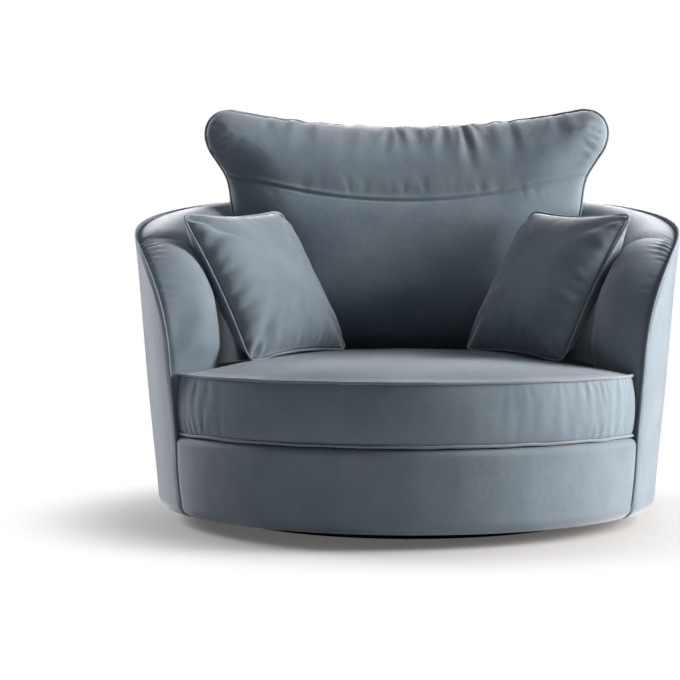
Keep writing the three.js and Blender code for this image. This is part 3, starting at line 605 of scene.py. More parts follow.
def along_and_off(places: Array, line: Array) -> tuple[Array, Array]:
    """Where each place is beside a line in a plane.

    Args:
        places: points, in a last axis of 2.
        line: the line's points.

    Returns:
        The distance along the line to the nearest point of it, and the distance from it.
    """
    flat = places.reshape(-1, 2)
    start, step = line[:-1], np.diff(line, axis=0)
    length = np.linalg.norm(step, axis=1)
    reach = np.concatenate([[0], np.cumsum(length)[:-1]])
    best, where = np.full(len(flat), np.inf), np.zeros(len(flat))
    for s, d, n, r in zip(start, step, length, reach):
        if n < 1e-9:
            continue
        t = np.clip((flat - s) @ d / (n * n), 0, 1)
        off = np.linalg.norm(flat - s - t[:, None] * d, axis=1)
        near = off < best
        best[near], where[near] = off[near], (r + t * n)[near]
    shape = places.shape[:-1]
    return where.reshape(shape), best.reshape(shape)


def turn_outwards(mesh: bpy.types.Mesh, merge: float = 0.0) -> None:
    """Merges a mesh's doubles, turns its faces outwards and shades it smooth.

    Args:
        mesh: the mesh.
        merge: points closer than this become one; 0 leaves them.
    """
    work = bmesh.new()
    work.from_mesh(mesh)
    if merge:
        bmesh.ops.remove_doubles(work, verts=work.verts, dist=merge)
        bmesh.ops.dissolve_degenerate(work, edges=work.edges, dist=merge)
    bmesh.ops.recalc_face_normals(work, faces=work.faces)
    if work.calc_volume(signed=True) < 0:
        bmesh.ops.reverse_faces(work, faces=work.faces)
    work.to_mesh(mesh)
    work.free()
    mesh.shade_smooth()


class Draft:
    """Collects the grids of one piece and turns them into an object whose place is in its mesh."""

    def __init__(self, name: str) -> None:
        """Starts an empty piece.

        Args:
            name: the piece's name.
        """
        self.name = name
        self.points: list[Array] = []
        self.faces: list[tuple[int, ...]] = []
        self.count = 0

    def grid(
        self, places: Array, flip: bool = False, round_rows: bool = False, closed: bool = False
    ) -> Array:
        """Adds a grid of quads.

        Args:
            places: points in rows and columns.
            flip: whether its faces point the other way.
            round_rows: whether each row closes on itself.
            closed: whether the last row joins the first.

        Returns:
            The number of each point in the mesh.
        """
        rows, columns = places.shape[:2]
        ids = np.arange(rows * columns).reshape(rows, columns) + self.count
        self.points.append(places.reshape(-1, 3))
        self.count += rows * columns
        i = np.arange(rows if closed else rows - 1)
        j = np.arange(columns if round_rows else columns - 1)
        i, j = (v.ravel() for v in np.meshgrid(i, j, indexing="ij"))
        i2, j2 = (i + 1) % rows, (j + 1) % columns
        quads = np.stack([ids[i, j], ids[i, j2], ids[i2, j2], ids[i2, j]], axis=1)
        self.faces += [tuple(q) for q in (quads[:, ::-1] if flip else quads).tolist()]
        return ids

    def end(self, ring: Array) -> None:
        """Closes a ring of an even number of points with a ladder of quads."""
        r, n = ring.tolist(), len(ring)
        self.faces += [(r[k], r[k + 1], r[n - 2 - k], r[n - 1 - k]) for k in range(n // 2 - 1)]

    def build(self, merge: float = 1e-5) -> bpy.types.Object:
        """Makes the object.

        Args:
            merge: points closer than this become one.

        Returns:
            The object, smooth and with its faces outwards.
        """
        mesh = bpy.data.meshes.new(self.name)
        mesh.from_pydata(np.concatenate(self.points).tolist(), [], self.faces)
        turn_outwards(mesh, merge)
        piece = bpy.data.objects.new(self.name, mesh)
        bpy.context.scene.collection.objects.link(piece)
        return piece


def settle(piece: bpy.types.Object) -> None:
    """Applies every modifier of a piece.

    Args:
        piece: the piece, which is left unselected.
    """
    bpy.ops.object.select_all(action="DESELECT")
    bpy.context.view_layer.objects.active = piece
    piece.select_set(True)
    for modifier in list(piece.modifiers):
        bpy.ops.object.modifier_apply(modifier=modifier.name)
    piece.select_set(False)


def rope(
    name: str, line: Array, radius: float, across: Array, loop: bool = True, sides: int = 12
) -> bpy.types.Object:
    """A round covered cord along a line, a little uneven.

    Args:
        name: the piece's name.
        line: its middle line.
        radius: its radius.
        across: a direction across the line for each point, or one for all.
        loop: whether it closes on itself.
        sides: points round it.

    Returns:
        The piece.
    """
    ahead = unit(ahead_of(line) if loop else np.gradient(line, axis=0))
    up = np.broadcast_to(across, line.shape).astype(float)
    up = unit(up - (up * ahead).sum(1, keepdims=True) * ahead)
    side = np.cross(ahead, up)
    turn = np.arange(sides) / sides * math.tau
    reach = radius * (1 + CORD_UNEVEN * soft_noise(line, 0.02, 7))[:, None, None]
    ring = up[:, None] * np.cos(turn)[None, :, None] + side[:, None] * np.sin(turn)[None, :, None]
    draft = Draft(name)
    ids = draft.grid(line[:, None] + reach * ring, round_rows=True, closed=loop)
    if not loop:
        draft.end(ids[0])
        draft.end(ids[-1])
    return draft.build()


FOLD_FLARE = 0.9
FOLD_START = 0.01
RIDGE_AWAY = 1.7
RIDGE_SHARE = 0.55


@dataclass(frozen=True)
class Fold:
    """A short gather in a panel: where it starts, which way it runs, and how long, wide and deep it is."""

    at: tuple[float, float]
    heading: float
    length: float
    width: float
    depth: float

    def relief(self, flat: Array) -> Array:
        """How far the fold moves the panel: inwards along its groove, outwards in a soft ridge at each side.

        Args:
            flat: places of the panel, laid flat.

        Returns:
            The move of each place, outwards.
        """
        away = flat - np.array(self.at)
        along = away @ np.array([math.cos(self.heading), math.sin(self.heading)])
        across = away @ np.array([-math.sin(self.heading), math.cos(self.heading)])
        width = self.width * (1 + FOLD_FLARE * np.clip(along, 0, None) / self.length)
        ridges = hump(np.abs(across) - RIDGE_AWAY * width, width)
        fade = np.where(along > 0, hump(along, self.length), hump(along, FOLD_START))
        return self.depth * fade * (RIDGE_SHARE * ridges - hump(across, width))


def gathers(
    start: tuple[float, float],
    end: tuple[float, float],
    heading: float,
    count: int,
    length: float,
    width: float,
    depth: float,
    seed: int,
) -> list[Fold]:
    """Folds in a row along an edge, each a little different.

    Args:
        start: where the row starts.
        end: where it ends.
        heading: the way that the folds run, in radians.
        count: how many folds there are.
        length: their usual length.
        width: their usual width.
        depth: their usual depth.
        seed: picks the variation.

    Returns:
        The folds.
    """
    rng = np.random.default_rng(seed)
    row = []
    for k in range(count):
        mix = (k + 0.5 + rng.uniform(-0.35, 0.35)) / count
        at = tuple(np.array(start) * (1 - mix) + np.array(end) * mix)
        row.append(
            Fold(
                at,
                heading + rng.uniform(-0.3, 0.3),
                length * rng.uniform(0.55, 1.35),
                width * rng.uniform(0.7, 1.4),
                depth * rng.uniform(0.4, 1.2),
            )
        )
    return row


def refined(piece: bpy.types.Object) -> None:
    """Applies one level of subdivision, so that folds and channels can be finer than the simulation.

    Args:
        piece: the piece.
    """
    finer = piece.modifiers.new("finer", "SUBSURF")
    finer.levels = finer.render_levels = 1
    settle(piece)


@dataclass(frozen=True)
class ClothPress:
    """Fills a sewn cover by simulation: pressure inside it, its seams held, and some spare cloth.

    spare is how much longer the cloth is than its cut, and cap is the furthest that a point may move.
    """

    pressure: float = 4.0
    spare: float = 0.03
    cap: float = 0.02
    frames: int = 20
    stiffness: float = 15.0
    bending: float = 0.6

    def fill(self, piece: bpy.types.Object, held: Array) -> None:
        """Runs the simulation and leaves its result in the piece's mesh.

        Args:
            piece: the cover, at the origin.
            held: 0 to 1 for each vertex, 1 where it may not move.
        """
        scene = bpy.context.scene
        pins = piece.vertex_groups.new(name="held")
        loose = piece.vertex_groups.new(name="spare")
        for k, weight in enumerate(held.tolist()):
            pins.add([k], weight, "REPLACE")
            loose.add([k], 1.0, "REPLACE")
        cloth = piece.modifiers.new("Cloth", "CLOTH")
        s = cloth.settings
        s.quality, s.mass = 6, 0.3
        s.tension_stiffness = s.compression_stiffness = self.stiffness
        s.shear_stiffness, s.bending_stiffness = self.stiffness / 3, self.bending
        s.vertex_group_mass = "held"
        s.use_pressure, s.uniform_pressure_force = True, self.pressure
        s.vertex_group_shrink = "spare"
        s.shrink_min, s.shrink_max = 0.0, -self.spare
        s.effector_weights.gravity = 0
        cloth.point_cache.frame_start, cloth.point_cache.frame_end = 1, self.frames
        for number in range(1, self.frames + 1):
            scene.frame_set(number)
        shaped = piece.evaluated_get(bpy.context.evaluated_depsgraph_get()).data
        before, after = places_of(piece.data), places_of(shaped)
        piece.modifiers.remove(cloth)
        piece.vertex_groups.clear()
        scene.frame_set(1)
        move = after - before
        length = np.linalg.norm(move, axis=1, keepdims=True)
        move *= self.cap * np.tanh(length / self.cap) / np.maximum(length, 1e-9)
        put(piece.data, before + move * (1 - held[:, None]))


def places_of(mesh: bpy.types.Mesh) -> Array:
    """Reads a mesh's vertices.

    Args:
        mesh: the mesh.

    Returns:
        Their places, as rows of three.
    """
    flat = np.zeros(len(mesh.vertices) * 3, np.float32)
    mesh.vertices.foreach_get("co", flat)
    return flat.reshape(-1, 3).astype(float)


def put(mesh: bpy.types.Mesh, places: Array) -> None:
    """Moves the mesh's vertices."""
    mesh.vertices.foreach_set("co", places.astype(np.float32).ravel())
    mesh.update()


def rides(piece: bpy.types.Object, body: Body, slot: str, *nodes: str) -> bpy.types.Object:
    """Puts a piece on its body and hides the CAD nodes that it stands for.

    Args:
        piece: the piece.
        body: the body that it rides on.
        slot: the record's material slot; not used.
        nodes: the CAD nodes that it stands for.

    Returns:
        The piece.
    """
    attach(piece, body.value)
    if nodes:
        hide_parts(*nodes)
    return piece


# ---------------------------------------------------------------- tub
@dataclass(frozen=True)
class TubOutline:
    """The sizes that the upholstery of the tub shares with the part's source.

    The cover's radius grows by flare for each metre of height. The tub's free edge stands at the angle edge,
    and from the angle corner to there the rim falls to corner_foot. The padding is pad deep, and rounds off
    over bullnose at the front of an arm and over roll under the rim. Below bow_top the free edge gives way by
    bow. The covered cords have the radius cord, and the CAD's pipings have the radius piping.
    """

    foot_radius: float = 0.616
    flare: float = 0.09
    skirt: float = 0.0305
    curl: float = 0.034
    lip: float = 0.022
    cover: float = 0.008
    gap: float = 0.0003
    pad: float = 0.141
    arm_height: float = 0.691
    back_height: float = 0.819
    rim_fall: float = 0.9
    rim_power: float = 0.8
    edge: float = math.radians(120)
    corner: float = math.radians(95)
    corner_foot: float = 0.43
    bullnose: float = 0.11
    roll: float = 0.085
    power: float = 2.2
    pad_foot: float = 0.2133
    piping: float = 0.004
    cord: float = 0.0031
    bow: float = 0.008
    bow_top: float = 0.23
    arm_middle: float = 0.5
    shoulder: float = 0.6
    past_corner: float = 0.03

    def radius(self, height: Any) -> Any:
        """Radius of the outer cover at a height."""
        return self.foot_radius + self.flare * height

    def edge_at(self, height: Array) -> Array:
        """Angle of the wall's free edge, which gives way to the drum's bulging front below the seat."""
        share = np.clip((np.asarray(height) - self.skirt) / (self.bow_top - self.skirt), 0, 1)
        return self.edge - self.bow * np.sin(share * math.pi) ** 1.5 / self.foot_radius

    def rim(self, angle: Array) -> Array:
        """Height of the rim.

        Args:
            angle: the angle of each place, from the rear.

        Returns:
            The height at each angle.
        """
        a = np.abs(angle)
        fall = np.maximum(0, np.cos(self.rim_fall * a)) ** self.rim_power
        high = self.arm_height + (self.back_height - self.arm_height) * fall
        along = np.clip((a - self.corner) / (self.edge - self.corner), 0, 1)
        turned = self.corner_foot + (high - self.corner_foot) * np.sqrt(1 - along**2)
        return np.where(a > self.corner, turned, high)

    def depth(self, angle: Array, height: Array, power: float) -> Array:
        """How deep the padding is behind the outer cover.

        Args:
            angle: the angle of each place.
            height: its height.
            power: how full the padding's rounding is.

        Returns:
            The depth at each place.
        """
        front = (self.edge - np.abs(angle)) * self.radius(height) / self.bullnose
        below = (self.rim(angle) - height) / self.roll
        return self.pad * smooth_rise(front, power) * smooth_rise(below, power)

    def columns(self, nose: int = 44, corner: int = 66, wall: int = 44) -> Array:
        """Angles of the upright lines of the mesh, closer together where the arms round off and are pleated.

        Args:
            nose: lines round the front of an arm.
            corner: lines where its pleats are.
            wall: lines from there to the rear.

        Returns:
            The angles, from one free edge to the other.
        """
        turn = np.linspace(0, math.pi / 2, nose)
        back = self.bullnose * (1 - np.cos(turn) ** (2 / self.power)) / self.radius(self.arm_middle)
        pleated = np.linspace(self.edge - back[-1], self.corner - self.past_corner, corner)[1:]
        side = np.linspace(pleated[-1], 0, wall)[1:]
        half = np.concatenate([self.edge - back, pleated, side])
        return np.concatenate([-half, half[::-1][1:]])

    @staticmethod
    def place(radius: Array, angle: Array, height: Array) -> Array:
        """Points from their radius, angle and height."""
        radius, angle, height = np.broadcast_arrays(radius, angle, height)
        return np.stack([radius * np.sin(angle), radius * np.cos(angle), height], axis=-1)

    def free_edge(self) -> Array:
        """The tub's free edge on one side, from foot to rear.

        Returns:
            Distance behind the front edge, and height, of each point.
        """
        a = np.concatenate([np.linspace(self.edge, self.corner, 60), np.linspace(self.corner, 0, 90)[1:]])
        upright = np.column_stack([np.zeros(30), np.linspace(0.05, self.corner_foot, 30)])
        return np.vstack([upright[:-1], np.column_stack([self.behind_edge(a), self.rim(a)])])

    def behind_edge(self, angle: Array) -> Array:
        """Distance of each angle behind the tub's front edge, measured round the tub."""
        return (self.edge - np.abs(angle)) * self.radius(self.shoulder)


@dataclass
class Covered:
    """What every sub-assembly of cloth has: its cloth, and the cloth of its covered cords."""

    cloth: bpy.types.Material
    trim: bpy.types.Material

    def piped(
        self, body: Body, node: str, line: Array, radius: float, across: Array, loop: bool = True
    ) -> bpy.types.Object:
        """Adds a covered cord in place of a CAD piping.

        Args:
            body: the body that it rides on.
            node: the CAD piping.
            line: the cord's middle line.
            radius: its radius.
            across: a direction across the line.
            loop: whether it closes on itself.

        Returns:
            The cord.
        """
        cord = rope(f"{node}_cord", line, radius, across, loop)
        dress(cord, self.trim)
        return rides(cord, body, "piping", node)


@dataclass
class TubUpholstery(Covered):
    """The fixed upholstery: padded wall, outer cover, drum front and the piping between them.

    pleats_at holds the height and the depth of each short pleat at the corner of an arm.
    """

    shape: TubOutline = TubOutline()
    roll_rows: int = 54
    wall_rows: int = 66
    roundness: float = 2.0
    arm_fuller: float = 0.075
    arm_belly: float = 0.085
    nose_swell: float = 0.020
    crest: float = 0.024
    seam_dip: float = 0.0045
    seam_reach: float = 0.008
    wall_thick: float = 0.0664
    unevenness: float = 0.0014
    arm_from: float = math.radians(58)
    arm_over: float = math.radians(30)
    seat_top: float = 0.375
    seat_blend: float = 0.07
    arm_top: float = 0.68
    arm_blend: float = 0.26
    wave_width: float = 0.16
    waves_from: float = 0.06
    pleats_below: float = 0.6905
    pleat_length: float = 0.025
    pleat_width: float = 0.0040
    pleats_at: tuple[tuple[float, float], ...] = (
        (0.687, 0.0018), (0.682, 0.0030), (0.676, 0.0042), (0.668, 0.0046), (0.659, 0.0044),
        (0.649, 0.0036), (0.637, 0.0024), (0.598, 0.0016), (0.572, 0.0018), (0.552, 0.0012),
    )
    rear_seams: tuple[float, ...] = (math.radians(-62), math.radians(62))
    rear_seam_dip: float = 0.0016
    rear_seam_width: float = 0.004
    edge_dip: float = 0.0012
    edge_dip_width: float = 0.007
    cover_waves: float = 0.0012
    cover_wave_width: float = 0.2
    most_proud: float = 0.002
    front_inset: float = 0.003
    front_dip: float = 0.002
    front_dip_width: float = 0.006
    front_waves: float = 0.0015
    front_wave_width: float = 0.17
    front_most_proud: float = 0.0012
    front_middle: float = 0.12
    front_band: float = 0.08
    platform: float = 0.2242
    front_curl: float = 0.016
    lip_stops: tuple[float, ...] = (0.013, 0.026)

    def build(self) -> list[bpy.types.Object]:
        """Makes the four pieces."""
        return [self.padded_wall(), self.outer_cover(), self.front_cover(), self.wall_piping()]

    def _beside_edge(self, angle: Array, height: Array) -> tuple[Array, Array]:
        """Where places of the wall are beside its free edge.

        Args:
            angle: the angle of each place.
            height: its height.

        Returns:
            The distance along the edge to the nearest point of it, and the distance from it.
        """
        places = np.stack([self.shape.behind_edge(angle), height], axis=-1)
        return along_and_off(places, self.shape.free_edge())

    def pleats(self, angle: Array, height: Array, depth: Array) -> Array:
        """How deep the cloth is drawn in at each place: the seam's dip and the short pleats at the corners.

        Args:
            angle: the angle of each place.
            height: its height.
            depth: how far it is inside the outer cover.

        Returns:
            The depth of the dip.
        """
        line = self.shape.free_edge()
        reach = np.concatenate([[0], np.cumsum(np.linalg.norm(np.diff(line, axis=0), axis=1))])
        rising = line[:, 1] <= self.pleats_below
        along, off = self._beside_edge(angle, height)
        off = np.hypot(off, depth)
        dip = self.seam_dip * hump(off, self.seam_reach)
        for k, (high, deep) in enumerate(self.pleats_at):
            at = float(np.interp(high, line[rising, 1], reach[rising]))
            heading = math.pi / 2 + 0.10 * (k - 4) + 0.12 * math.sin(4 * k)
            length = self.pleat_length + 0.007 * math.sin(5 * k)
            pleat = Fold((at, 0.010), heading, length, self.pleat_width, deep)
            dip = dip - pleat.relief(np.stack([along, off], axis=-1))
        return dip

    def padded_wall(self) -> bpy.types.Object:
        """Makes the arms and the inside back: one padded panel, rounded over the rim and the arm fronts.

        Returns:
            The piece.
        """
        s = self.shape
        angle = s.columns()[None, :]
        rim = s.rim(angle)
        rise = np.linspace(0, 1, self.wall_rows, endpoint=False)[:, None]
        lower = s.pad_foot + (rim - s.roll - s.pad_foot) * rise
        turn = np.linspace(math.pi / 2, 0, self.roll_rows)[:, None]
        upper = rim - s.roll * (1 - np.maximum(0, np.cos(turn)) ** (2 / self.roundness))
        height = np.vstack([lower, upper])
        angle = np.broadcast_to(angle, height.shape)
        on_arm = soft_step((np.abs(angle) - self.arm_from) / self.arm_over)
        above_seat = soft_step((height - self.seat_top) / self.seat_blend)
        over_seat = above_seat * soft_step((self.arm_top - height) / self.arm_blend)
        fuller = (self.arm_fuller + self.arm_belly * over_seat) * on_arm
        depth = s.depth(angle, height, self.roundness) * (1 + fuller)
        wall = s.radius(height) - s.cover - s.gap
        waves = soft_noise(s.place(wall, angle, height), self.wave_width, 3) * self.unevenness
        depth = depth + waves * smooth_rise(depth / self.waves_from, 2)
        turned = np.arccos(1 - np.clip((s.edge - np.abs(angle)) * s.radius(height) / s.bullnose, 0, 1))
        under = np.clip((rim - height) / s.roll, 0, 1)
        swell = self.nose_swell * np.sin(2 * turned) * above_seat * soft_step(under * 1.5)
        lifted = height + self.crest * np.sin(2 * np.arccos(1 - under)) * soft_step(turned / 0.9)
        spread = np.sign(angle) * swell / s.radius(s.arm_middle)
        face = s.place(wall - np.maximum(0, depth), angle + spread, lifted)
        out = unit(np.cross(np.gradient(face, axis=1), np.gradient(face, axis=0)))
        middle = out[self.wall_rows // 2, out.shape[1] // 2]
        dips = self.pleats(angle, height, np.maximum(0, depth))
        face = face + out * dips[..., None] * np.sign(middle[1])
        rear = s.place(wall - np.maximum(0, depth - self.wall_thick), angle, height)
        draft = Draft("padded_wall_velvet")
        draft.grid(face)
        draft.grid(rear, flip=True)
        draft.grid(np.stack([face[0], rear[0]]), flip=True)
        piece = draft.build()
        dress(piece, self.cloth)
        return rides(piece, Body.TUB, "velvet", "padded_wall")

    def _skin(self, name: str, face: Array) -> bpy.types.Object:
        """Makes a cover from its outer face.

        Args:
            name: the piece's name.
            face: the face's points, in rows and columns.

        Returns:
            The cover, with its thickness inwards.
        """
        draft = Draft(name)
        draft.grid(face)
        piece = draft.build()
        middle = piece.data.polygons[len(piece.data.polygons) // 2]
        if middle.normal.to_2d().dot(middle.center.to_2d()) < 0:
            piece.data.flip_normals()
        solid = piece.modifiers.new("thickness", "SOLIDIFY")
        solid.thickness, solid.offset = self.shape.cover * 0.94, -1
        settle(piece)
        piece.data.shade_smooth()
        dress(piece, self.cloth)
        return piece

    def _foot(self, radius_of: Callable[[Any], Any]) -> Array:
        """The section of a cover's lip and rounded lower edge.

        Args:
            radius_of: the cover's radius at a height.

        Returns:
            Radius and height of each point.
        """
        s = self.shape
        turn = np.linspace(0, math.pi / 2, 12)
        middle = s.skirt + s.curl
        inner = radius_of(middle) - s.curl
        lip = [[inner - s.lip, s.skirt], [inner - s.lip / 2, s.skirt]]
        curl = np.column_stack([inner + s.curl * np.sin(turn), middle - s.curl * np.cos(turn)])
        return np.vstack([lip, curl])

    def outer_cover(self) -> bpy.types.Object:
        """Makes the cloth over the outside of the tub, from its free edge to the lip under its foot.

        Returns:
            The piece.
        """
        s = self.shape
        angle = s.columns()
        foot = self._foot(s.radius)
        rise = np.linspace(0, 1, 34)[1:, None]
        low = s.skirt + s.curl
        upper = low + (s.rim(angle) - low) * rise
        height = np.vstack([np.repeat(foot[:, 1:], len(angle), 1), upper])
        radius = np.vstack([np.repeat(foot[:, :1], len(angle), 1), s.radius(upper)])
        turned = angle[None, :] * s.edge_at(height) / s.edge
        places = s.place(radius, turned, height)
        _, off = self._beside_edge(np.broadcast_to(angle, height.shape), height)
        drawn = self.edge_dip * hump(off, self.edge_dip_width)
        for seam in self.rear_seams:
            beside = (angle[None, :] - seam) * radius
            drawn = drawn + self.rear_seam_dip * hump(beside, self.rear_seam_width)
        waves = self.cover_waves * soft_noise(places, self.cover_wave_width, 11)
        drawn = drawn - waves * smooth_rise(off / 0.1, 2)
        radius = radius - np.maximum(drawn, -self.most_proud)
        piece = self._skin("outer_cover_velvet", s.place(radius, turned, height))
        return rides(piece, Body.TUB, "velvet", "outer_cover")

    def front_cover(self) -> bpy.types.Object:
        """Makes the drum's front panel, rounded over the seat platform and under its foot.

        Returns:
            The piece.
        """
        s = self.shape
        radius_of: Callable[[Any], Any] = lambda z: s.radius(z) - self.front_inset
        beside = 2 * (s.cord + s.gap) / radius_of(s.skirt)
        across = np.linspace(-1, 1, 130)
        foot = self._foot(radius_of)
        middle = self.platform - self.front_curl
        rise = np.linspace(foot[-1, 1], middle, 20)[1:]
        turn = np.linspace(0, math.pi / 2, 10)[1:]
        drawn_in = radius_of(middle) - self.front_curl * (1 - np.cos(turn))
        bend = np.column_stack([drawn_in, middle + self.front_curl * np.sin(turn)])
        lip = np.column_stack([bend[-1, 0] - np.array(self.lip_stops), np.full(2, self.platform)])
        section = np.vstack([foot, np.column_stack([radius_of(rise), rise]), bend, lip])
        angle = math.pi + across[None, :] * (math.pi - s.edge_at(section[:, 1:]) - beside)
        places = s.place(section[:, :1], angle, section[:, 1:])
        upright = hump(section[:, 1:] - self.front_middle, self.front_band)
        swell = soft_noise(places, self.front_wave_width, 5) * self.front_waves * upright
        edge = (1 - np.abs(across))[None, :] * (math.pi - s.edge) * s.foot_radius
        drawn = self.front_dip * hump(edge, self.front_dip_width)
        radius = section[:, :1] + np.minimum(swell, self.front_most_proud) - drawn
        piece = self._skin("front_cover_velvet", s.place(radius, angle, section[:, 1:]))
        return rides(piece, Body.TUB, "velvet", "front_cover")

    def wall_piping(self) -> bpy.types.Object:
        """Makes the covered cord along the tub's free edge, from the foot of one arm to that of the other.

        Returns:
            The piece.
        """
        s = self.shape
        reach, middle = s.cord + s.gap, s.cover / 2
        low = s.skirt + s.curl
        turn = np.linspace(math.pi / 2, 0.35, 8)[::-1]
        z = low - (s.curl - middle) * np.cos(turn)
        inside = s.radius(low) - s.curl + (s.curl - middle) * np.sin(turn)
        curl = np.column_stack([inside, s.edge_at(z) + reach / s.radius(low), z])
        z = np.linspace(low, s.corner_foot, 60)[1:]
        upright = np.column_stack([s.radius(z) - middle, s.edge_at(z) + reach / s.radius(z), z])
        a = s.edge - (s.edge - s.corner) * (1 - np.cos(np.linspace(0.08, math.pi / 2, 60)))
        a = np.concatenate([a, np.linspace(s.corner, 0, 120)[1:]])
        step = 0.004
        slope = (s.rim(a + step) - s.rim(a - step)) / (2 * step * s.radius(s.arm_height))
        length = np.hypot(1, slope)
        z = s.rim(a) + reach / length
        rim = np.column_stack([s.radius(z) - middle, a - slope * reach / length / s.radius(z), z])
        right = np.vstack([curl, upright, rim])
        left = right[::-1][1:] * [1, -1, 1]
        line = resampled(s.place(*np.vstack([right, left]).T), 900, loop=False)
        line = eased(line, 12, loop=False)
        outwards = line * [1, 1, 0]
        return self.piped(Body.TUB, "wall_piping", line, s.cord, outwards, loop=False)


# ---------------------------------------------------------------- seat cushion
@dataclass
class SeatCushion(Covered):
    """The T-shaped boxed seat cushion with piping along both seams.

    Its sides are border high between the seams and stand out by bulge, and its top rises over them by crown.
    """

    shape: TubOutline = TubOutline()
    foot: float = 0.2245
    low_seam: float = 0.2315
    border: float = 0.141
    front: float = 0.622
    clearance: float = 0.0125
    front_clearance: float = -0.001
    corner: float = 0.013
    bulge: float = 0.0095
    crown: float = 0.043
    crown_power: float = 2.4
    centre: tuple[float, float] = (0.0, -0.06)
    crown_dents: float = 0.0022
    crown_dent_width: float = 0.16
    border_ripple: float = 0.0008
    front_y: float = -0.2
    inner_shares: tuple[float, ...] = (0.02, 0.3, 0.6, 0.9)
    columns: int = 400
    border_rows: int = 15
    cord_extra: float = 0.0003
    cord_reach: float = 0.75
    press: ClothPress = ClothPress(pressure=2.0, spare=0.0, cap=0.006, frames=14, bending=1.2)

    def outline(self, height: float) -> Array:
        """The seam's outline in plan at a height, with its points at equal distances.

        Args:
            height: the height of the seam.

        Returns:
            Points, starting at the middle of the front.
        """
        s = self.shape
        wall = s.radius(height) - s.cover - s.gap
        rear = math.pi - s.edge
        side = rear - self.front_clearance / self.front
        bend = self.corner / self.front
        turn = np.radians(np.linspace(0, 90, 10))
        front = np.column_stack([np.full(60, self.front), np.linspace(0, side - bend, 60)])[:-1]
        round_off = np.column_stack(
            [self.front - self.corner * (1 - np.cos(turn)), side - bend * (1 - np.sin(turn))]
        )
        turn = np.radians(np.linspace(14, 90, 30))
        back, deep = np.cos(turn).clip(0) ** (2 / s.power), np.sin(turn) ** (2 / s.power)
        slope_back = -(back ** (s.power - 1)) / s.bullnose
        slope_deep = deep ** (s.power - 1) / s.pad
        length = np.hypot(slope_back, slope_deep)
        behind = s.bullnose * (1 - back) + self.clearance * slope_back / length
        inside = wall - s.pad * deep - self.clearance * slope_deep / length
        nose = np.column_stack([inside, rear + behind / wall])
        start = rear + s.bullnose / wall
        turn = start + (math.pi - start) * np.linspace(0, 1, 91)[1:]
        inner = np.column_stack([np.full(90, wall - s.pad - self.clearance), turn])
        half = np.vstack([front, round_off, nose, inner])
        right = np.column_stack([half[:, 0] * np.sin(half[:, 1]), -half[:, 0] * np.cos(half[:, 1])])
        left = right[1:-1][::-1] * [-1, 1]
        return eased(resampled(np.vstack([right, left]), self.columns), 3)

    @staticmethod
    def _normals(outline: Array) -> Array:
        """Outward directions along an outline."""
        ahead = ahead_of(outline)
        return unit(np.column_stack([ahead[:, 1], -ahead[:, 0]]))

    def ripples(self, outline: Array) -> Array:
        """How much the border ripples: most towards the right end of the front.

        Args:
            outline: places in plan.

        Returns:
            The share of the ripples at each place.
        """
        x, y = outline[:, 0], outline[:, 1]
        front = smooth_rise((self.front_y - y) / 0.1, 2)
        return front * (0.15 + hump(x - 0.44, 0.15) + 0.6 * hump(x + 0.5, 0.1))

    def build(self) -> list[bpy.types.Object]:
        """Makes the cushion and its two pipings.

        Returns:
            The three pieces.
        """
        low, top = self.outline(self.foot), self.outline(self.low_seam + self.border)
        out = self._normals(low)
        centre = np.array(self.centre)
        rings: list[Array] = []
        held: list[Array] = []

        def ring(seam: Array, share: float, height: Any, hold: float) -> None:
            """Adds one ring of the cushion.

            Args:
                seam: the seam's outline in plan.
                share: how far out from the centre to the seam the ring is.
                height: its height.
                hold: 1 where the simulation may not move it.
            """
            plan = centre + (seam - centre) * share
            rings.append(np.column_stack([plan, np.broadcast_to(height, len(plan))]))
            held.append(np.full(len(plan), hold))

        for share in self.inner_shares:
            ring(low, share, self.foot, 1)
        ring(low, 0.975, self.foot + 0.002, 1)
        ring(low, 1, self.low_seam, 1)
        for mix in np.linspace(0, 1, self.border_rows + 2)[1:-1]:
            seam = low + (top - low) * mix + out * self.bulge * math.sin(mix * math.pi) ** 0.7
            ring(seam, 1, self.low_seam + self.border * mix, 0)
        high = self.low_seam + self.border
        near_seam, near_centre = [0, 0.012, 0.026, 0.044, 0.066], [0.6, 0.72, 0.85, 0.97]
        for share in 1 - np.concatenate([near_seam, np.linspace(0.09, 0.5, 20), near_centre]):
            rise = self.crown * (1 - share**self.crown_power)
            ring(top, share, high + rise, 1 if share == 1 or share < 0.5 else 0)
        draft = Draft("seat_cushion_velvet")
        ids = draft.grid(np.stack(rings), round_rows=True)
        draft.end(ids[0])
        draft.end(ids[-1])
        piece = draft.build(0)
        self.press.fill(piece, np.concatenate(held))
        refined(piece)
        self._finish_folds(piece)
        dress(piece, self.cloth)
        rides(piece, Body.SEAT, "velvet", "seat_cushion")
        return [piece, self._piping("lower", low, self.low_seam), self._piping("upper", top, high)]

    def folds(self) -> list[Fold]:
        """The small gathers under the border's upper seam and over its lower one.

        Returns:
            The folds, by place along the front and height.
        """
        low, high = self.low_seam + 0.004, self.low_seam + self.border - 0.004
        down, up = -math.pi / 2, math.pi / 2
        return [
            *gathers((0.42, high), (0.635, high), down, 13, 0.034, 0.0040, 0.0027, 41),
            *gathers((0.20, high), (0.40, high), down, 6, 0.035, 0.0045, 0.0012, 42),
            *gathers((-0.64, high), (-0.50, high), down, 5, 0.040, 0.0045, 0.0018, 43),
            *gathers((0.42, low), (0.635, low), up, 9, 0.030, 0.0042, 0.0022, 44),
            *gathers((-0.64, low), (-0.46, low), up, 7, 0.036, 0.0045, 0.0024, 45),
        ]

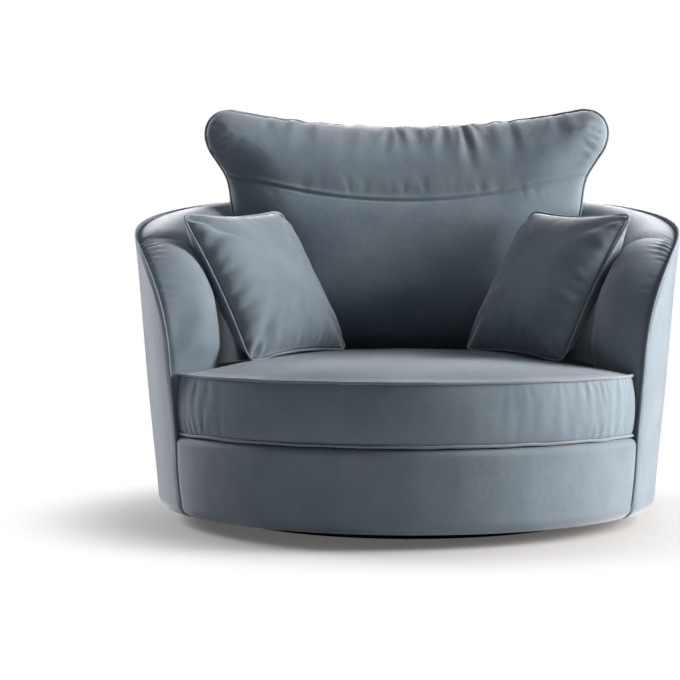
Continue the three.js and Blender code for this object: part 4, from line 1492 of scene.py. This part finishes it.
    def _finish_folds(self, piece: bpy.types.Object) -> None:
        """Ripples the border, dents the crown a little, and keeps the underside on the platform.

        Args:
            piece: the cushion.
        """
        places = places_of(piece.data)
        plan, height = places[:, :2], places[:, 2]
        mix = (height - self.low_seam) / self.border
        from_centre = plan - self.centre
        away = unit(from_centre)
        side = np.arctan2(plan[:, 0], -plan[:, 1]) * self.front
        on_border = np.clip(np.sin(np.clip(mix, 0, 1) * math.pi), 0, 1) ** 0.5
        sway = side + 0.004 * np.sin(mix * 4 + side * 11)
        wave = soft_noise(np.column_stack([sway, mix * 0.012]), 0.02, 21)
        wave = wave + 0.6 * soft_noise(np.column_stack([side, mix * 0.03]), 0.05, 22)
        relief = sum(fold.relief(np.column_stack([side, height])) for fold in self.folds())
        ripple = self.border_ripple * wave * self.ripples(plan)
        fold = (ripple + relief) * on_border * (plan[:, 1] < self.front_y)
        places[:, :2] += away * fold[:, None]
        high = self.low_seam + self.border
        on_top = smooth_rise((height - high) / 0.01, 2)
        places[:, 2] += on_top * self.crown_dents * soft_noise(plan, self.crown_dent_width, 23)
        places[:, 2] = np.clip(places[:, 2], self.foot, high + self.crown + 0.002)
        put(piece.data, places)

    def _piping(self, which: str, seam: Array, height: float) -> bpy.types.Object:
        """Makes one of the two pipings, which lies outside its seam.

        Args:
            which: the word in its CAD name.
            seam: the seam's outline in plan.
            height: the seam's height.

        Returns:
            The cord.
        """
        line = seam + self._normals(seam) * (self.shape.cord * self.cord_reach)
        line = np.column_stack([line, np.full(len(line), height)])
        line[:, 2] += 0.0006 * soft_noise(line, 0.05, 31)
        radius = self.shape.cord + self.cord_extra
        return self.piped(Body.SEAT, f"seat_piping_{which}", resampled(line, 800), radius, UP)

    def top_at(self, x: float, y: float) -> float:
        """Height of the crown, so that what lies on the seat is set down true.

        Args:
            x: the place's X.
            y: its Y.

        Returns:
            The height over that place.
        """
        aim = np.array([x, y]) - self.centre
        rel = self.outline(self.low_seam + self.border) - self.centre
        rel = rel[np.argsort(np.arctan2(rel[:, 1], rel[:, 0]))]
        turns, reaches = np.arctan2(rel[:, 1], rel[:, 0]), np.linalg.norm(rel, axis=1)
        reach = np.interp(math.atan2(aim[1], aim[0]), turns, reaches, period=math.tau)
        share = min(1.0, float(np.linalg.norm(aim)) / float(reach))
        return self.low_seam + self.border + self.crown * (1 - share**self.crown_power)


# ---------------------------------------------------------------- back cushion
@dataclass
class BackCushion(Covered):
    """The flared back cushion: a lower panel and a head roll, joined by a sagging seam.

    sides holds places up one side, as shares of half the width and of the rise. The cushion is belly deep in
    its middle and flank deep at its sides, and is filled to slack of that before the simulation.
    """

    seat: SeatCushion
    shape: TubOutline = TubOutline()
    width: float = 1.062
    rise: float = 0.643
    thickness: float = 0.256
    belly: float = 0.18
    flank: float = 0.052
    edge_width: float = 0.14
    lean: float = math.radians(11)
    foot_y: float = 0.322
    forward: float = 0.15
    seam_sag: float = 0.1
    top_dip: float = 0.042
    top_puff: float = 0.0024
    seam_groove: float = 0.0042
    seam_lip: float = 0.0026
    slack: float = 0.88
    seam_channel: float = 0.05
    cord_reach: float = 0.9
    wall_share: float = 0.996
    across_share: float = 0.9
    rest_gap: float = 0.0009
    seam_row: float = 7.15
    lower_rows: int = 34
    upper_rows: int = 28
    columns: int = 116
    sides: tuple[tuple[float, float], ...] = (
        (0.68, 0), (0.76, 0.03), (0.785, 0.11), (0.79, 0.28), (0.8, 0.44), (0.86, 0.56), (0.876, 0.655),
        (0.895, 0.721), (0.94, 0.785), (0.982, 0.84), (1.0, 0.9), (0.985, 0.953), (0.945, 0.988),
        (0.885, 1.0),
    )
    press: ClothPress = ClothPress(pressure=3.0, spare=0.02, cap=0.024, frames=18, bending=0.8)

    def __post_init__(self) -> None:
        """Works out how high the cushion stands over the seat."""
        self.foot_z = self.seat.top_at(0, self.foot_y) + 2 * self.shape.piping + self.rest_gap

    def side_at(self, row: float) -> Array:
        """A point of the cushion's side, on a smooth curve through its listed places.

        Args:
            row: how far along the list.

        Returns:
            Across and up, in metres.
        """
        last = len(self.sides) - 1
        k = min(int(row), last - 1)
        t = row - k
        p = [np.array(self.sides[min(last, max(0, k + d))]) for d in (-1, 0, 1, 2)]
        v0, v1 = (p[2] - p[0]) / 2, (p[3] - p[1]) / 2
        cubic, square = 2 * p[1] - 2 * p[2] + v0 + v1, -3 * p[1] + 3 * p[2] - 2 * v0 - v1
        return (cubic * t**3 + square * t**2 + v0 * t + p[1]) * [self.width / 2, self.rise]

    def plane_y(self, across: Array, up: Array) -> Array:
        """Y of the seam surface, which leans back and comes forward at its sides."""
        return self.foot_y + up * math.sin(self.lean) - self.forward * (2 * across / self.width) ** 2

    def place(self, across: Array, up: Array, depth: Array) -> Array:
        """Points in front of the seam surface.

        Args:
            across: how far each is to the right.
            up: how far up the seam surface it is.
            depth: how far it is in front of that surface.

        Returns:
            The points.
        """
        y = self.plane_y(across, up) - depth * math.cos(self.lean)
        z = self.foot_z + up * math.cos(self.lean) + depth * math.sin(self.lean)
        return np.stack([across, y, z], axis=-1)

    def room_behind(self, across: Array, up: Array) -> Array:
        """Depth that the padded wall leaves behind the seam surface.

        Args:
            across: how far each place is to the right.
            up: how far up the seam surface it is.

        Returns:
            The depth at each place.
        """
        s = self.shape
        seam = self.place(across, up, np.zeros_like(across))
        wall = (s.radius(seam[..., 2]) - s.cover - s.gap - s.pad) * self.wall_share
        wall = wall - self.seat.clearance / 2
        return np.maximum(0, np.sqrt(np.maximum(0, wall**2 - across**2)) - seam[..., 1])

    def flat_grid(self) -> tuple[Array, Array]:
        """The cushion's panels laid flat, their columns closer together towards the sides.

        Returns:
            Across and up for each row and column, and each row's level: 1 at the seam, 2 at the top.
        """
        share = np.linspace(-1, 1, self.columns + 1)
        a = np.sin(share * math.pi / 2 * self.across_share) / math.sin(math.pi / 2 * self.across_share)
        rows, levels = [], []
        top = len(self.sides) - 1
        foot_rise = self.seat.top_at(0, self.foot_y)
        for k in range(self.lower_rows):
            mix = 1 - (1 - k / self.lower_rows) ** 1.25
            x, y = self.side_at(mix * self.seam_row)
            drop = 0.0
            if k < self.lower_rows / 2:
                at = a * x
                tops = [self.seat.top_at(float(c), float(self.plane_y(c, 0.0))) for c in at[::10]]
                drop = np.interp(at, at[::10], (np.array(tops) - foot_rise) / math.cos(self.lean))
            rows.append(np.stack([a * x, y - self.seam_sag * (1 - a * a) * mix + drop * (1 - mix)], axis=1))
            levels.append(mix)
        for k in range(self.upper_rows + 1):
            mix = (k / self.upper_rows) ** 1.2
            x, y = self.side_at(self.seam_row + (top - self.seam_row) * mix)
            dip = (1 - a * a) * (self.seam_sag * (1 - mix) + self.top_dip * mix)
            puff = self.top_puff * soft_noise((a * x)[:, None], 0.035, 57) * (1 - a**4) * mix**4
            rows.append(np.stack([a * x, y - dip + puff], axis=1))
            levels.append(1 + mix)
        return np.stack(rows), np.array(levels)

    def build(self) -> list[bpy.types.Object]:
        """Makes the cushion and its piping.

        Returns:
            The two pieces.
        """
        flat, levels = self.flat_grid()
        edge = rim_of(flat)
        _, off = along_and_off(flat, np.vstack([edge, edge[:1]]))
        rounding = smooth_rise(off / self.edge_width, 2)
        share = np.abs(flat[..., 0]) / np.abs(flat[..., 0]).max(axis=1, keepdims=True)
        swell = rounding * (self.flank + (self.belly - self.flank) * (1 - share**2))
        front = swell * (1 - self.seam_channel * hump(levels[:, None] - 1, 0.12))
        rear = -soft_least(rounding * self.thickness / 2, self.room_behind(flat[..., 0], flat[..., 1]))
        piece = self._fill(flat, front, rear)
        dress(piece, self.cloth)
        rides(piece, Body.BACK, "velvet", "back_cushion")
        across = np.array([0, -math.cos(self.lean), math.sin(self.lean)])
        line = self.place(edge[:, 0], edge[:, 1], np.zeros(len(edge)))
        line = line + unit(np.cross(ahead_of(line), across)) * self.shape.cord * self.cord_reach
        line = eased(resampled(line, 640), 3)
        return [piece, self.piped(Body.BACK, "back_piping", line, self.shape.cord, across)]

    def _fill(self, flat: Array, front: Array, rear: Array) -> bpy.types.Object:
        """Fills the cover, first laid flat and then bent to its lean and curve.

        Args:
            flat: across and up of the panels.
            front: depth of the front panels.
            rear: depth of the rear panel.

        Returns:
            The piece.
        """
        full = self.slack
        cushion = Draft("back_cushion_velvet")
        cushion.grid(at_depth(flat, front * full))
        cushion.grid(at_depth(flat, rear * full), flip=True)
        piece = cushion.build(1e-6)
        places = places_of(piece.data)
        on_edge = np.abs(places[:, 2]) < 1e-6
        seam_line = flat[self.lower_rows]
        _, off_seam = along_and_off(places[:, :2], seam_line)
        held = np.where(on_edge | ((off_seam < 0.002) & (places[:, 2] > 0.01)), 1.0, 0.0)
        self.press.fill(piece, held)
        refined(piece)
        places = places_of(piece.data)
        plan, depth = places[:, :2], places[:, 2]
        depth = np.where(depth < 0, -soft_least(-depth, self.room_behind(plan[:, 0], plan[:, 1])), depth)
        depth = np.where(depth > 0, depth * min(1.0, self.belly / depth.max()), depth)
        fore = smooth_rise(depth / 0.03, 2) * (depth > 0)
        above = plan[:, 1] - np.interp(plan[:, 0], seam_line[:, 0], seam_line[:, 1])
        depth = depth - fore * self.seam_groove * hump(above + 0.003, 0.0042)
        depth = depth + fore * self.seam_lip * hump(above - 0.005, 0.0048)
        relief = sum(fold.relief(plan) for fold in self.folds())
        put(piece.data, self.place(plan[:, 0], plan[:, 1], depth + fore * relief))
        turn_outwards(piece.data)
        return piece

    def folds(self) -> list[Fold]:
        """The gathers of the head roll: along its top edge, above its seam and into its ears.

        Returns:
            The folds, by across and up.
        """
        ear_low, ear_high = self.rise * 0.78, self.rise * 0.95
        top, seam = self.rise - self.top_dip, self.rise * 0.721 - self.seam_sag
        down, up = -math.pi / 2, math.pi / 2
        return [
            *gathers((-0.06, top + 0.002), (0.19, top + 0.004), down, 10, 0.064, 0.0070, 0.0105, 51),
            *gathers((0.20, top + 0.004), (0.42, top + 0.03), down, 6, 0.055, 0.009, 0.0050, 56),
            *gathers(
                (-0.40, self.rise - 0.012), (-0.12, top + 0.006), down + 0.15, 7, 0.055, 0.009, 0.0036, 52
            ),
            *gathers((-0.36, seam + 0.035), (0.38, seam + 0.04), up, 13, 0.030, 0.007, 0.0009, 53),
            *gathers((0.47, ear_low), (0.515, ear_high), math.pi, 5, 0.04, 0.008, 0.0034, 54),
            *gathers((-0.47, ear_low), (-0.515, ear_high), 0.0, 5, 0.04, 0.008, 0.0034, 55),
        ]


# ---------------------------------------------------------------- scatter cushions
@dataclass
class ScatterCushion(Covered):
    """A small square cushion that leans into the corner of arm and back.

    Its sides are drawn in by pinch between the corners, which are the sharper the higher squareness is.
    """

    seat: SeatCushion
    side: Side
    width: float = 0.414
    thickness: float = 0.156
    rear_fuller: float = 0.15
    creased: float = 1.0
    pinch: float = 0.018
    squareness: float = 13.0
    foot_x: float = 0.262
    foot_y: float = -0.066
    turn: float = math.radians(56)
    lean: float = math.radians(29.5)
    roll: float = math.radians(2.2)
    piping: float = 0.004
    cord: float = 0.0030
    slack: float = 0.72
    roughness: float = 0.0012
    rear_crease: float = -0.35
    rest_gap: float = 0.0006
    cord_reach: float = 0.8
    steps: int = 52
    seed: int = 0
    press: ClothPress = ClothPress(pressure=6.0, spare=0.03, cap=0.04, bending=0.6)

    def axes(self) -> tuple[Array, Array, Array]:
        """The cushion's own directions.

        Returns:
            The ways along it, up it and out of it.
        """
        sign = self.side.value
        along = Vector((-sign * math.cos(self.turn), math.sin(self.turn), 0))
        facing = Vector((-sign * math.sin(self.turn), -math.cos(self.turn), 0))
        up = facing * -math.sin(self.lean) + Vector((0, 0, math.cos(self.lean)))
        out = facing * math.cos(self.lean) + Vector((0, 0, math.sin(self.lean)))
        turn = Quaternion(out, -sign * self.roll)
        return tuple(np.array(turn @ v) for v in (along, up)) + (np.array(out),)

    def world(self, local: Array) -> Array:
        """Moves places from the cushion to the frame.

        Args:
            local: across, up and depth of each place.

        Returns:
            The places.
        """
        along, up, out = self.axes()
        base = np.array([self.side.value * self.foot_x, self.foot_y, self.rest])
        across, rise, depth = local[..., :1], local[..., 1:2] + self.width / 2, local[..., 2:3]
        return base + across * along + rise * up + depth * out

    def shares(self) -> tuple[Array, Array]:
        """How far across and up the panel its points are, each from -1 to 1."""
        share = np.linspace(-1, 1, self.steps + 1)
        return tuple(np.meshgrid(share, share))

    def flat(self) -> Array:
        """The cushion's panel laid flat, drawn in between its corners.

        Returns:
            Across and up of each point, in rows and columns.
        """
        a, b = self.shares()
        half = self.width / 2
        x = a * (half - self.pinch * (1 - b * b) * np.abs(a))
        y = b * (half - self.pinch * (1 - a * a) * np.abs(b))
        p = self.squareness
        far = np.maximum(np.abs(a), np.abs(b))
        near = np.minimum(np.abs(a), np.abs(b)) / np.maximum(far, 1e-9)
        trim = 1 - (1 - (1 + near**p) ** (-1 / p)) * far**3
        return np.stack([x * trim, y * trim], axis=-1)

    def folds(self) -> list[Fold]:
        """The gathers along the cushion's edges and out of its corners.

        Returns:
            The folds, by across and up; the arm is on the low side of across.
        """
        h = self.width / 2
        seed = 70 + 10 * self.seed
        return [
            *gathers((-h + 0.02, 0.12), (-h + 0.02, -0.16), 0.4, 6, 0.080, 0.0100, 0.0062, seed),
            *gathers((-0.15, -h + 0.018), (0.16, -h + 0.018), 1.5, 6, 0.040, 0.0080, 0.0020, seed + 1),
            *gathers((-0.10, h - 0.02), (0.15, h - 0.02), -1.5, 6, 0.04, 0.010, 0.0020, seed + 2),
            *gathers((h - 0.02, -0.12), (h - 0.02, 0.13), 3.1, 5, 0.045, 0.010, 0.0018, seed + 3),
            Fold((-h + 0.02, h - 0.02), -0.70, 0.10, 0.010, 0.0085),
            Fold((-h + 0.012, h - 0.05), -0.40, 0.08, 0.008, 0.0060),
            Fold((-h + 0.02, -h + 0.02), 0.75, 0.09, 0.010, 0.0070),
            Fold((-h + 0.05, -h + 0.012), 1.15, 0.07, 0.008, 0.0050),
            Fold((h - 0.02, h - 0.02), -2.3, 0.07, 0.010, 0.0060),
            Fold((h - 0.05, h - 0.012), -1.9, 0.05, 0.008, 0.0040),
            Fold((h - 0.02, -h + 0.02), 2.4, 0.06, 0.009, 0.0055),
        ]

    def build(self) -> list[bpy.types.Object]:
        """Makes the cushion and its piping.

        Returns:
            The two pieces.
        """
        flat = self.flat()
        edge = rim_of(flat)
        self.rest = 0.0
        feet = self.world(np.column_stack([edge, np.zeros(len(edge))]))
        heights = [self.seat.top_at(float(x), float(y)) - z for x, y, z in feet[:: max(1, len(feet) // 80)]]
        self.rest = max(heights) + self.piping + self.rest_gap
        a, b = self.shares()
        plump = smooth_rise((1 - np.abs(a)) * 1.4, 1.9) * smooth_rise((1 - np.abs(b)) * 1.4, 1.9)
        inside = smooth_rise(1.2 * (1 - np.maximum(np.abs(a), np.abs(b))), 2)
        rough = self.roughness * soft_noise(flat, 0.03, 60 + self.seed) * inside
        full = self.slack
        depth = self.thickness / 2 * plump * full
        draft = Draft(f"scatter_cushion_{self.side.word}_velvet")
        draft.grid(at_depth(flat, depth + rough))
        draft.grid(at_depth(flat, rough - depth), flip=True)
        piece = draft.build(1e-6)
        places = places_of(piece.data)
        _, off = along_and_off(places[:, :2], np.vstack([edge, edge[:1]]))
        self.press.fill(piece, np.where(off < 1e-4, 1.0, 0.0))
        refined(piece)
        places = places_of(piece.data)
        places[:, 2] *= self.thickness / 2 / float(np.abs(places[:, 2]).max())
        relief = sum(fold.relief(places[:, :2]) for fold in self.folds())
        thick = smooth_rise(np.abs(places[:, 2]) / 0.02, 2)
        places[:, 2] += self.creased * relief * thick * np.where(places[:, 2] > 0, 1, self.rear_crease)
        fuller = 1 + self.rear_fuller * soft_step((0.1 - places[:, 0]) / 0.2)
        places[:, 2] *= np.where(places[:, 2] < 0, fuller, 1)
        put(piece.data, self.world(places))
        turn_outwards(piece.data)
        dress(piece, self.cloth)
        body = Body.LEFT if self.side is Side.LEFT else Body.RIGHT
        rides(piece, body, "velvet", f"scatter_cushion_{self.side.word}")
        out = unit(np.column_stack([np.gradient(edge[:, 1]), -np.gradient(edge[:, 0])]))
        ring = eased(resampled(edge + out * self.cord * self.cord_reach, 360), 4)
        line = self.world(np.column_stack([ring, np.zeros(len(ring))]))
        node = f"scatter_piping_{self.side.word}"
        return [piece, self.piped(body, node, line, self.cord, self.axes()[2])]


# ---------------------------------------------------------------- plinth
@dataclass
class Plinth:
    """The black ring that the chair stands on, turned smooth where the CAD ring is faceted."""

    paint: bpy.types.Material
    radius: float = 0.445
    wall: float = 0.020
    foot: float = 0.001
    top: float = 0.044
    ledge: float = 0.010
    ledge_top: float = 0.0277
    edge: float = 0.0022
    segments: int = 128

    def build(self) -> list[bpy.types.Object]:
        """Makes the ring from a cylinder whose faces are inset, bored and stepped.

        Returns:
            The piece.
        """
        bpy.ops.object.select_all(action="DESELECT")
        bpy.ops.mesh.primitive_cylinder_add(
            vertices=self.segments,
            radius=self.radius,
            depth=self.top - self.foot,
            location=(0, 0, (self.top + self.foot) / 2),
        )
        piece = bpy.context.object
        piece.name = piece.data.name = "plinth_ring_painted"
        bpy.ops.object.transform_apply(location=True, rotation=True, scale=True)
        bpy.ops.object.mode_set(mode="EDIT")
        bpy.ops.mesh.select_mode(type="FACE")
        self._select(piece, lambda f: abs(f.normal.z) > 0.9)
        bpy.ops.mesh.inset(thickness=self.wall - self.ledge, depth=0)
        self._select(piece, lambda f: f.normal.z > 0.9 and len(f.verts) > 8)
        bpy.ops.mesh.extrude_region_move(TRANSFORM_OT_translate={"value": (0, 0, self.ledge_top - self.top)})
        bpy.ops.mesh.inset(thickness=self.ledge, depth=0)
        self._select(piece, lambda f: f.normal.z < -0.9 and len(f.verts) > 8)
        bpy.ops.mesh.inset(thickness=self.ledge, depth=0)
        self._select(piece, lambda f: len(f.verts) > 8)
        bpy.ops.mesh.bridge_edge_loops()
        bpy.ops.mesh.select_all(action="SELECT")
        bpy.ops.mesh.normals_make_consistent(inside=False)
        bpy.ops.object.mode_set(mode="OBJECT")
        bevel = piece.modifiers.new("edge", "BEVEL")
        bevel.width, bevel.segments, bevel.limit_method = self.edge, 3, "ANGLE"
        bevel.angle_limit = math.radians(40)
        settle(piece)
        bpy.context.view_layer.objects.active = piece
        piece.select_set(True)
        bpy.ops.object.shade_smooth_by_angle(angle=math.radians(35))
        piece.select_set(False)
        dress(piece, self.paint)
        return [rides(piece, Body.BASE, "plinth_paint", "plinth_ring")]

    @staticmethod
    def _select(piece: bpy.types.Object, test: Callable[[Any], bool]) -> None:
        """Selects faces of the piece being edited.

        Args:
            piece: the piece.
            test: whether a face is to be selected.
        """
        bpy.ops.mesh.select_all(action="DESELECT")
        work = bmesh.from_edit_mesh(piece.data)
        for face in work.faces:
            if test(face):
                face.select_set(True)
        bmesh.update_edit_mesh(piece.data)


# ---------------------------------------------------------------- frame inside the tub
@dataclass
class HiddenFrame:
    """The CAD nodes that stay as they are and only get their finish."""

    def dress(self) -> int:
        """Dresses each node by its slot.

        Returns:
            How many nodes were dressed.
        """
        kinds = (
            (PlatedSteel(), ("bearing", "ball_cage", "lower_screw", "upper_screw")),
            (
                Plywood(),
                ("plinth_board", "bottom_hoop", "base_board", "deck_ring", "front_rail", "inner_lining"),
            ),
            (Timber(), ("post", "back_rib", "arm_post", "top_rail")),
            (FootRubber(), ("centre_foot",)),
            (MouldedNylon(), ("glide",)),
            (PlatedSteel("spring_steel", (0.20, 0.21, 0.22), (0.10, 0.105, 0.11), 0.36), ("seat_spring",)),
            (PressedFelt(), ("dust_cover",)),
            (PressedFelt("platform_cloth", (0.36, 0.34, 0.30), (0.50, 0.48, 0.43)), ("seat_platform",)),
        )
        done = 0
        for finish, starts in kinds:
            material = finish.make()
            for name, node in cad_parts.items():
                if name.startswith(starts):
                    dress(node, material)
                    done += 1
        return done


# ---------------------------------------------------------------- studio
@dataclass(frozen=True)
class SoftBox:
    """A rectangular lamp that faces the middle of the chair."""

    name: str
    place: tuple[float, float, float]
    size: tuple[float, float]
    level: float
    aim: tuple[float, float, float] = (0.0, 0.0, 0.45)
    spread: float = math.pi
    colour: Colour = (1.0, 1.0, 1.0)

    def add(self) -> None:
        """Adds the lamp. At level 1 a white surface that faces it at the chair renders white."""
        lamp = bpy.data.lights.new(self.name, "AREA")
        lamp.shape, lamp.size, lamp.size_y = "RECTANGLE", *self.size
        way = Vector(self.aim) - Vector(self.place)
        lamp.energy = self.level * math.pi**2 * way.length_squared
        lamp.color, lamp.spread = self.colour, self.spread
        lit = bpy.data.objects.new(self.name, lamp)
        lit.location = self.place
        lit.rotation_euler = way.to_track_quat("-Z", "Y").to_euler()
        bpy.context.scene.collection.objects.link(lit)


@dataclass
class Studio:
    """Pale floor, soft lamps, white background and the camera at the photograph's viewing angle."""

    camera_place: tuple[float, float, float] = (0.0, -5.0, 0.667)
    camera_down: float = 2.595
    camera_left: float = 1.903
    lens: float = 105.14
    sensor: float = 36.0
    world_level: float = 0.14
    floor_radius: float = 12.0
    world_colour: Colour = (0.91, 0.92, 1.0)
    paper: Colour = (0.63, 0.625, 0.615)
    shadow_shape: tuple[float, float] = (1.20, 1.25)
    shadow_ends: tuple[float, float] = (0.76, 1.24)
    whitened: float = 0.10
    boxes: tuple[SoftBox, ...] = (
        SoftBox("key_right", (3.32, -0.35, 1.10), (1.2, 1.2), 1.46, colour=(1.0, 0.96, 0.94)),
        SoftBox("high_right", (2.88, 0.0, 2.25), (1.2, 1.2), 0.56, colour=(1.0, 0.96, 0.94)),
        SoftBox("beam_right", (3.03, -0.59, 1.95), (0.9, 0.9), 0.014, (-0.3, 0.0, 0.72), math.radians(32)),
        SoftBox("rim_left", (-2.80, 1.66, 1.40), (1.2, 1.2), 0.98, colour=(1.0, 0.975, 0.985)),
        SoftBox("overhead", (0.0, 0.0, 3.85), (1.2, 1.2), 0.10),
    )

    def build(self) -> None:
        """Sets up the whole studio."""
        self._camera()
        self._world()
        self._floor()
        for box in self.boxes:
            box.add()
        bpy.context.scene.view_settings.view_transform = "Standard"

    def _camera(self) -> None:
        """Adds the camera."""
        data = bpy.data.cameras.new("camera")
        data.lens, data.sensor_width = self.lens, self.sensor
        camera = bpy.data.objects.new("camera", data)
        camera.location = self.camera_place
        camera.rotation_euler = (math.radians(90 - self.camera_down), 0, math.radians(self.camera_left))
        bpy.context.scene.collection.objects.link(camera)
        bpy.context.scene.camera = camera

    def _world(self) -> None:
        """A weak even light that the camera, and clear material, see as white."""
        world = bpy.data.worlds.new("studio")
        bpy.context.scene.world = world
        world.use_nodes = True
        tree = world.node_tree
        tree.nodes.clear()
        path, seen, mix = (tree.nodes.new(f"ShaderNode{kind}") for kind in ("LightPath", "Math", "MixShader"))
        seen.operation = "MAXIMUM"
        for ray, socket in zip((CAMERA_RAY, "Is Transmission Ray"), seen.inputs):
            tree.links.new(path.outputs[ray], socket)
        tree.links.new(seen.outputs[0], mix.inputs[0])
        lights = ((self.world_colour, self.world_level), ((1.0, 1.0, 1.0), 1.0))
        for number, (colour, level) in enumerate(lights, 1):
            light = tree.nodes.new("ShaderNodeBackground")
            light.inputs[0].default_value, light.inputs[1].default_value = (*colour, 1), level
            tree.links.new(light.outputs[0], mix.inputs[number])
        out = tree.nodes.new("ShaderNodeOutputWorld")
        tree.links.new(mix.outputs[0], out.inputs[0])

    def _floor(self) -> None:
        """A matt white floor that keeps the chair's shadow and turns to plain white further off."""
        draft = Draft("floor")
        turn = np.linspace(0, math.tau, 97)[:-1]
        ring = np.column_stack([np.cos(turn), np.sin(turn), np.zeros(96)])
        ids = draft.grid(np.stack([ring * r for r in (0.01, 3, self.floor_radius)]), round_rows=True)
        draft.end(ids[0])
        floor = draft.build()
        if any(polygon.normal.z < 0 for polygon in floor.data.polygons):
            floor.data.flip_normals()
        r = Recipe("floor_paper")
        x, y = (r.axis(k) * scale for k, scale in enumerate(self.shadow_shape))
        off = (x * x + y * y) ** 0.5
        path = r.node("ShaderNodeLightPath")
        seen = Reading(r, path.outputs[CAMERA_RAY])
        paper = r.node("ShaderNodeBsdfDiffuse", {}, {"Color": self.paper})
        white = r.node("ShaderNodeEmission", {}, {"Color": (1.0, 1.0, 1.0), "Strength": 1.0})
        away = (off.between(*self.shadow_ends) * (1 - self.whitened) + self.whitened) * seen
        mix = r.node("ShaderNodeMixShader", {}, {0: away, 1: paper.outputs[0], 2: white.outputs[0]})
        r.node("ShaderNodeOutputMaterial", {}, {"Surface": mix.outputs[0]})
        dress(floor, r.material)


def report(pieces: Sequence[bpy.types.Object]) -> None:
    """Logs the name and the number of faces of each piece."""
    for piece in pieces:
        log.info("%s: %d faces", piece.name, len(piece.data.polygons))


def main() -> None:
    """Builds the studio and the chair in order."""
    logging.basicConfig(level=logging.INFO, format="%(name)s at %(relativeCreated)d ms: %(message)s")
    Studio().build()
    cloth = Velvet().make()
    # The piping's velvet is a lighter copy of the cloth. This is a painted highlight, so that the cords read
    # as light lines.
    trim = Velvet("piping", (0.185, 0.228, 0.260), (0.250, 0.298, 0.332), 0.8, 0.0009).make()
    log.info("%d nodes of the frame dressed", HiddenFrame().dress())
    report(Plinth(PaintedWood().make()).build())
    report(TubUpholstery(cloth, trim).build())
    # the seat's velvet carries painted shade on its crown (laid)
    seat = SeatCushion(Velvet("velvet_seat", sheen=0.42, tint=(0.84, 0.92, 1.0), laid=0.62).make(), trim)
    report(seat.build())
    report(BackCushion(cloth, trim, seat).build())
    for number, (side, creased) in enumerate(((Side.LEFT, 0.9), (Side.RIGHT, 0.5))):
        report(ScatterCushion(cloth, trim, seat, side, seed=number, creased=creased).build())


if __name__ == "__main__":
    main()
